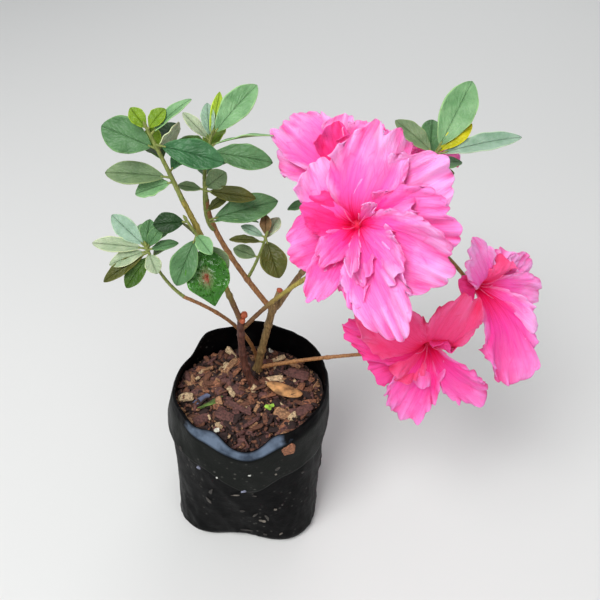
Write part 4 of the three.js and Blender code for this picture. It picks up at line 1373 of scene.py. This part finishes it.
def petal_material(name, throat, fold, body, lip):
    """Velvety flesh: deep at the throat, pale at the lip, with streaks and a net of
    threads along the petal. Painted shade darkens the ruffle's troughs and a
    painted highlight pales its crests."""
    material, tree, surface = new_material(name)
    throat, fold, body, lip = (tint(*colour) for colour in (throat, fold, body, lip))
    uv = on_sheet(tree)
    ways = apart(tree, uv)
    streaks = grain(tree, stretched(tree, uv, (30, 2.6, 1)), 1.0, 4.0)
    cloud = grain(tree, on_object(tree), 0.12, 4.0)
    pad = grain(tree, on_object(tree), 2.2, 2.0)
    brim = figured(tree, "MAXIMUM", times(tree, away(tree, ways["X"], 0.5), 2.0), ways["Y"])
    brim = plus(tree, brim, ranged(tree, cloud, 0.3, 0.7, -0.16, 0.16))
    rise = plus(tree, ways["Y"], ranged(tree, streaks, 0.3, 0.7, -0.12, 0.12))
    net = shade(tree, "ShaderNodeTexVoronoi", Vector=stretched(tree, uv, (15, 3.4, 1)), Scale=1.0)
    net.feature = "DISTANCE_TO_EDGE"
    # Painted shade and highlight: the ruffle's height darkens its troughs towards the fold colour and
    # pales its crests towards the lip colour.
    ruffle = tree.nodes.new("ShaderNodeAttribute")
    ruffle.attribute_name = "ruffle_light_and_shade"
    ruffle_light_and_shade = ruffle.outputs["Fac"]
    colour = blended(tree, ranged(tree, rise, 0.14, 0.42), throat, body)
    for value, low, high, most, second in (
        (rise, 0.45, 1.0, 0.6, lip), (brim, 0.72, 1.02, 0.9, lip),
        (streaks, 0.56, 0.72, 0.26, throat), (net.outputs["Distance"], 0.05, 0.005, 0.3, fold),
        (ruffle_light_and_shade, -0.1, -1.6, 0.6, fold), (ruffle_light_and_shade, 0.1, 1.8, 0.75, lip),
    ):
        colour = blended(tree, ranged(tree, value, low, high, 0, most), colour, second)
    feed(
        tree, surface, Base_Color=colour, Roughness=0.55, Specular_IOR_Level=0.2,
        Subsurface_Weight=0.3, Subsurface_Radius=(0.003, 0.0012, 0.002),
    )
    embossed(tree, surface, plus(tree, streaks, times(tree, pad, 0.25)), 0.6, 0.8)
    return material


def petal_rule(bloom, petal, draw, draw_more, ruffle_heights_for_shading):
    """Shape of one petal: it leaves the tube close to the axis, rolls outwards
    until it is open, and its ruffle grows towards the lip. The height of the
    ruffle at each point is noted in a list, in millimetres, for the painted
    shade in its troughs and the painted highlight on its crests."""
    turn, open_by, length, width, ruffle, _ = petal
    throat, axis, right, top = bloom
    out = right * math.cos(math.radians(turn)) + top * math.sin(math.radians(turn))
    across = axis.cross(out)
    phase = draw() * 2 * math.pi
    draw()  # the solid's source draws its number of waves here
    spine = [throat - axis * PETAL_SINK + out]
    for i in range(SPINE_STEPS):
        opened = min((i + 0.5) / SPINE_STEPS * 1.9, 1) ** 1.2
        bent = math.radians(mixed(PETAL_START, open_by, opened))
        step = (length + PETAL_SINK) / SPINE_STEPS
        spine.append(spine[-1] + axis * math.cos(bent) * step + out * math.sin(bent) * step)

    curl = (draw_more() - 0.4) * 0.5
    fold = 0.06 + 0.18 * draw_more() ** 2
    wave_length = 4.6 + 2.2 * draw_more()
    tear = (draw_more() - 0.5) * width * 1.4
    swing = draw_more() * FULL_TURN

    def stir(x, y, z):
        return 2 * noise.noise(Vector((x, y, z + phase * 3)))

    def rule(u, v):
        s = 2 * u - 1
        edge = max(abs(s), v, 0.001)
        round_rim = math.copysign(width / 2 * abs(s) / edge + length * (1 - v / edge), s)
        beat = round_rim / wave_length * FULL_TURN + swing + 1.8 * stir(round_rim * 0.12, v, 8)
        lobes = LOBE_SWAY * stir(round_rim * 0.085, 0.3, turn)
        lobes += SCALLOP * (abs(math.sin(beat / 2)) ** 0.6 - 0.7)
        lobes -= TEAR_DEPTH * hump(round_rim - tear, TEAR_HALF)
        share = v * math.sqrt(1 - 0.34 * s * s * v) * (1 + lobes * v * v)
        middle, along = on_course(spine, share)
        face = -across.cross(along)
        half = width / 2 * mixed(PETAL_ROOT, 1, math.sin(min(v / 0.72, 1) * math.pi / 2) ** 1.3)
        half *= (1 + lobes * v) * 1.06 * math.sqrt(1 - 0.36 * v ** 4)
        near_rim = edge ** 6 * eased(0.1, 0.6, v)
        billow = BILLOW * ruffle * v ** 1.4 * stir(s * 1.3, v * 1.3, 3)
        flute = FLUTE * ruffle * edge ** 3 * v * math.sin(beat * 0.3 + 2 * stir(s * 0.7, v * 0.7, 7))
        frill = FRILL * ruffle * near_rim * math.sin(beat)
        frill *= 0.6 + 0.9 * stir(round_rim * 0.16, 4 * v, 9)
        ripple = RIPPLE * ruffle * edge ** 2 * v * stir(s * 5, v * 5, 2)
        rolled = -ROLL * ruffle * max(edge - 0.74, 0) ** 2 / 0.07
        rolled *= max(0.5 + stir(round_rim * 0.05, 2, 6), 0)
        trough = -TROUGH * hump(s, 0.13) * v * (1 - 0.7 * v)
        cup = width * fold * abs(s) ** 1.6 * v + curl * width * 0.3 * v ** 3
        lapped = LAP * width * s * v
        beyond = max(share - 1, 0) * length
        lift = billow + flute + frill + ripple + rolled * v + trough + cup + lapped
        # The ruffle's height, kept for the painted shade in its troughs and the painted highlight on
        # its crests.
        ruffle_heights_for_shading.append(flute * 0.35 + frill * 0.9 + 1.6 * ripple + rolled * 0.5 + billow * 0.3)
        return middle + along * beyond + across * s * half + face * lift

    return rule


petal_finishes = {
    tone: petal_material("petal_" + tone, *colours) for tone, colours in PETAL_TONES.items()
}
FILAMENT_SEED = 3
FILAMENTS = 3
FILAMENT_LEAN = (0.16, 0.46)
FILAMENT_LENGTH = (9, 14)
CUP = [(-0.5, 0.9), (0.4, 1.9), (1.4, 2.3), (2.6, 2.2), (4, 2.5), (6, 3.1), (8, 3.9)]
PEDICEL, CALYX, FILAMENT, TUBE = range(4)
STALK_TONES = {
    "pedicel": ((120, 112, 56), (172, 160, 96)),
    "calyx": ((96, 120, 48), (150, 170, 84)),
    "filament": ((240, 70, 140), (255, 140, 195)),
    "tube": ((214, 0, 60), (238, 20, 96)),
}
stalk_materials = [stem_material(name, *tones) for name, tones in STALK_TONES.items()]
for i, (name, bloom) in enumerate(BLOOMS.items()):
    draw = seeded(BLOOM_SEED + i)
    draw_more = seeded(FRILL_SEED + i)
    axis = heading(bloom["turn"], bloom["rise"])
    right = Vector((0, 0, 1)).cross(axis).normalized()
    throat = Vector(bloom["throat"])
    top = axis.cross(right)
    heel = throat - axis * TUBE_LENGTH
    sheets = []
    for petal in bloom["petals"]:
        sheet = add_sheet("petal", PETAL_COLUMNS, PETAL_ROWS)
        ruffle_heights_for_shading = []
        reshape(sheet, petal_rule((throat, axis, right, top), petal, draw, draw_more, ruffle_heights_for_shading))
        # The ruffle's height is stored on the petal for its painted shade and highlight.
        sheet.data.attributes.new("ruffle_light_and_shade", "FLOAT", "POINT").data.foreach_set("value", ruffle_heights_for_shading)
        sheet.data.materials.append(petal_finishes[petal[-1]])
        apply(sheet, "SOLIDIFY", thickness=PETAL_THICKNESS * MM, offset=0)
        sheets.append(sheet)
    petals = join(sheets, name + "_petals")
    bpy.ops.object.shade_smooth()
    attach(petals, "root")
    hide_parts(name)

    rods = new_rods(name + "_stalk", stalk_materials)
    path = growth({**bloom["stalk"], "to": heel + axis, "girth": STALK_GIRTH})
    girths = [mixed(*STALK_GIRTH, k / STALK_STEPS) for k in range(STALK_STEPS + 1)]
    add_rod(rods, spread_along(path, STALK_STEPS), girths, PEDICEL)
    add_rod(rods, [heel + axis * d for d, _ in CUP[:4]], [r for _, r in CUP[:4]], CALYX)
    add_rod(rods, [heel + axis * d for d, _ in CUP[2:]], [r * 0.9 for _, r in CUP[2:]], TUBE)
    loose = random.Random(i + FILAMENT_SEED)
    for k in range(FILAMENTS):
        spin = k / FILAMENTS * 2 * math.pi + loose.random()
        lean = mixed(*FILAMENT_LEAN, loose.random())
        long = mixed(*FILAMENT_LENGTH, loose.random())
        out = right * math.cos(spin) + top * math.sin(spin)
        thread = [
            throat - axis * 3 + axis * long * t + out * (0.9 + lean * long * t * t) + top * 3 * t ** 3
            for t in [n / 10 for n in range(11)]
        ]
        add_rod(rods, thread, [0.3 - 0.016 * n for n in range(11)], FILAMENT)
    stalk = as_piece(rods)
    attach(stalk, "root")
    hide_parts(name)


# A plain pale floor, soft light from above on the left with a weaker fill, and
# the camera, which looks down at the plant from the front.
CAMERA_PLACE = (0.024, -0.210, 0.295)
CAMERA_PITCH = 39.5
CAMERA_LENS = 40.2

bpy.ops.object.select_all(action="DESELECT")
bpy.ops.mesh.primitive_plane_add(size=12, location=(0, 0, -0.0002))
floor = just_added("studio_floor")
floor_finish, tree, surface = new_material("studio_pale")
feed(tree, surface, Base_Color=tint(226, 226, 224), Roughness=0.8)
floor.data.materials.append(floor_finish)

LIGHTS_AIM = (0.02, 0, 0.11)
SOFT_LIGHTS = {
    "soft_above": {"place": (-0.4, -0.55, 1.1), "size": 0.7, "power": 13},
    "soft_front": {"place": (0.6, -1.2, 0.7), "size": 1.0, "power": 4},
    "soft_behind": {"place": (0.3, 1.1, 0.9), "size": 0.9, "power": 3.5},
}
for name, light in SOFT_LIGHTS.items():
    lamp = bpy.data.lights.new(name, "AREA")
    lamp.energy = light["power"]
    lamp.size = light["size"]
    holder = placed(name, lamp)
    holder.location = light["place"]
    aim = Vector(LIGHTS_AIM) - holder.location
    holder.rotation_euler = aim.to_track_quat("-Z", "Y").to_euler()

world = bpy.data.worlds.new("studio_air")
world.use_nodes = True
feed(world.node_tree, world.node_tree.nodes["Background"], Color=(0.93, 0.96, 1, 1), Strength=0.36)
bpy.context.scene.world = world
bpy.context.scene.view_settings.view_transform = "Standard"

lens = bpy.data.cameras.new("photo_camera")
lens.lens = CAMERA_LENS
lens.sensor_width = 36
lens.clip_start = 0.01
camera = placed("photo_camera", lens)
camera.location = CAMERA_PLACE
camera.rotation_euler = (math.radians(90 - CAMERA_PITCH), 0, 0)
bpy.context.scene.camera = camera

bpy.context.view_layer.update()
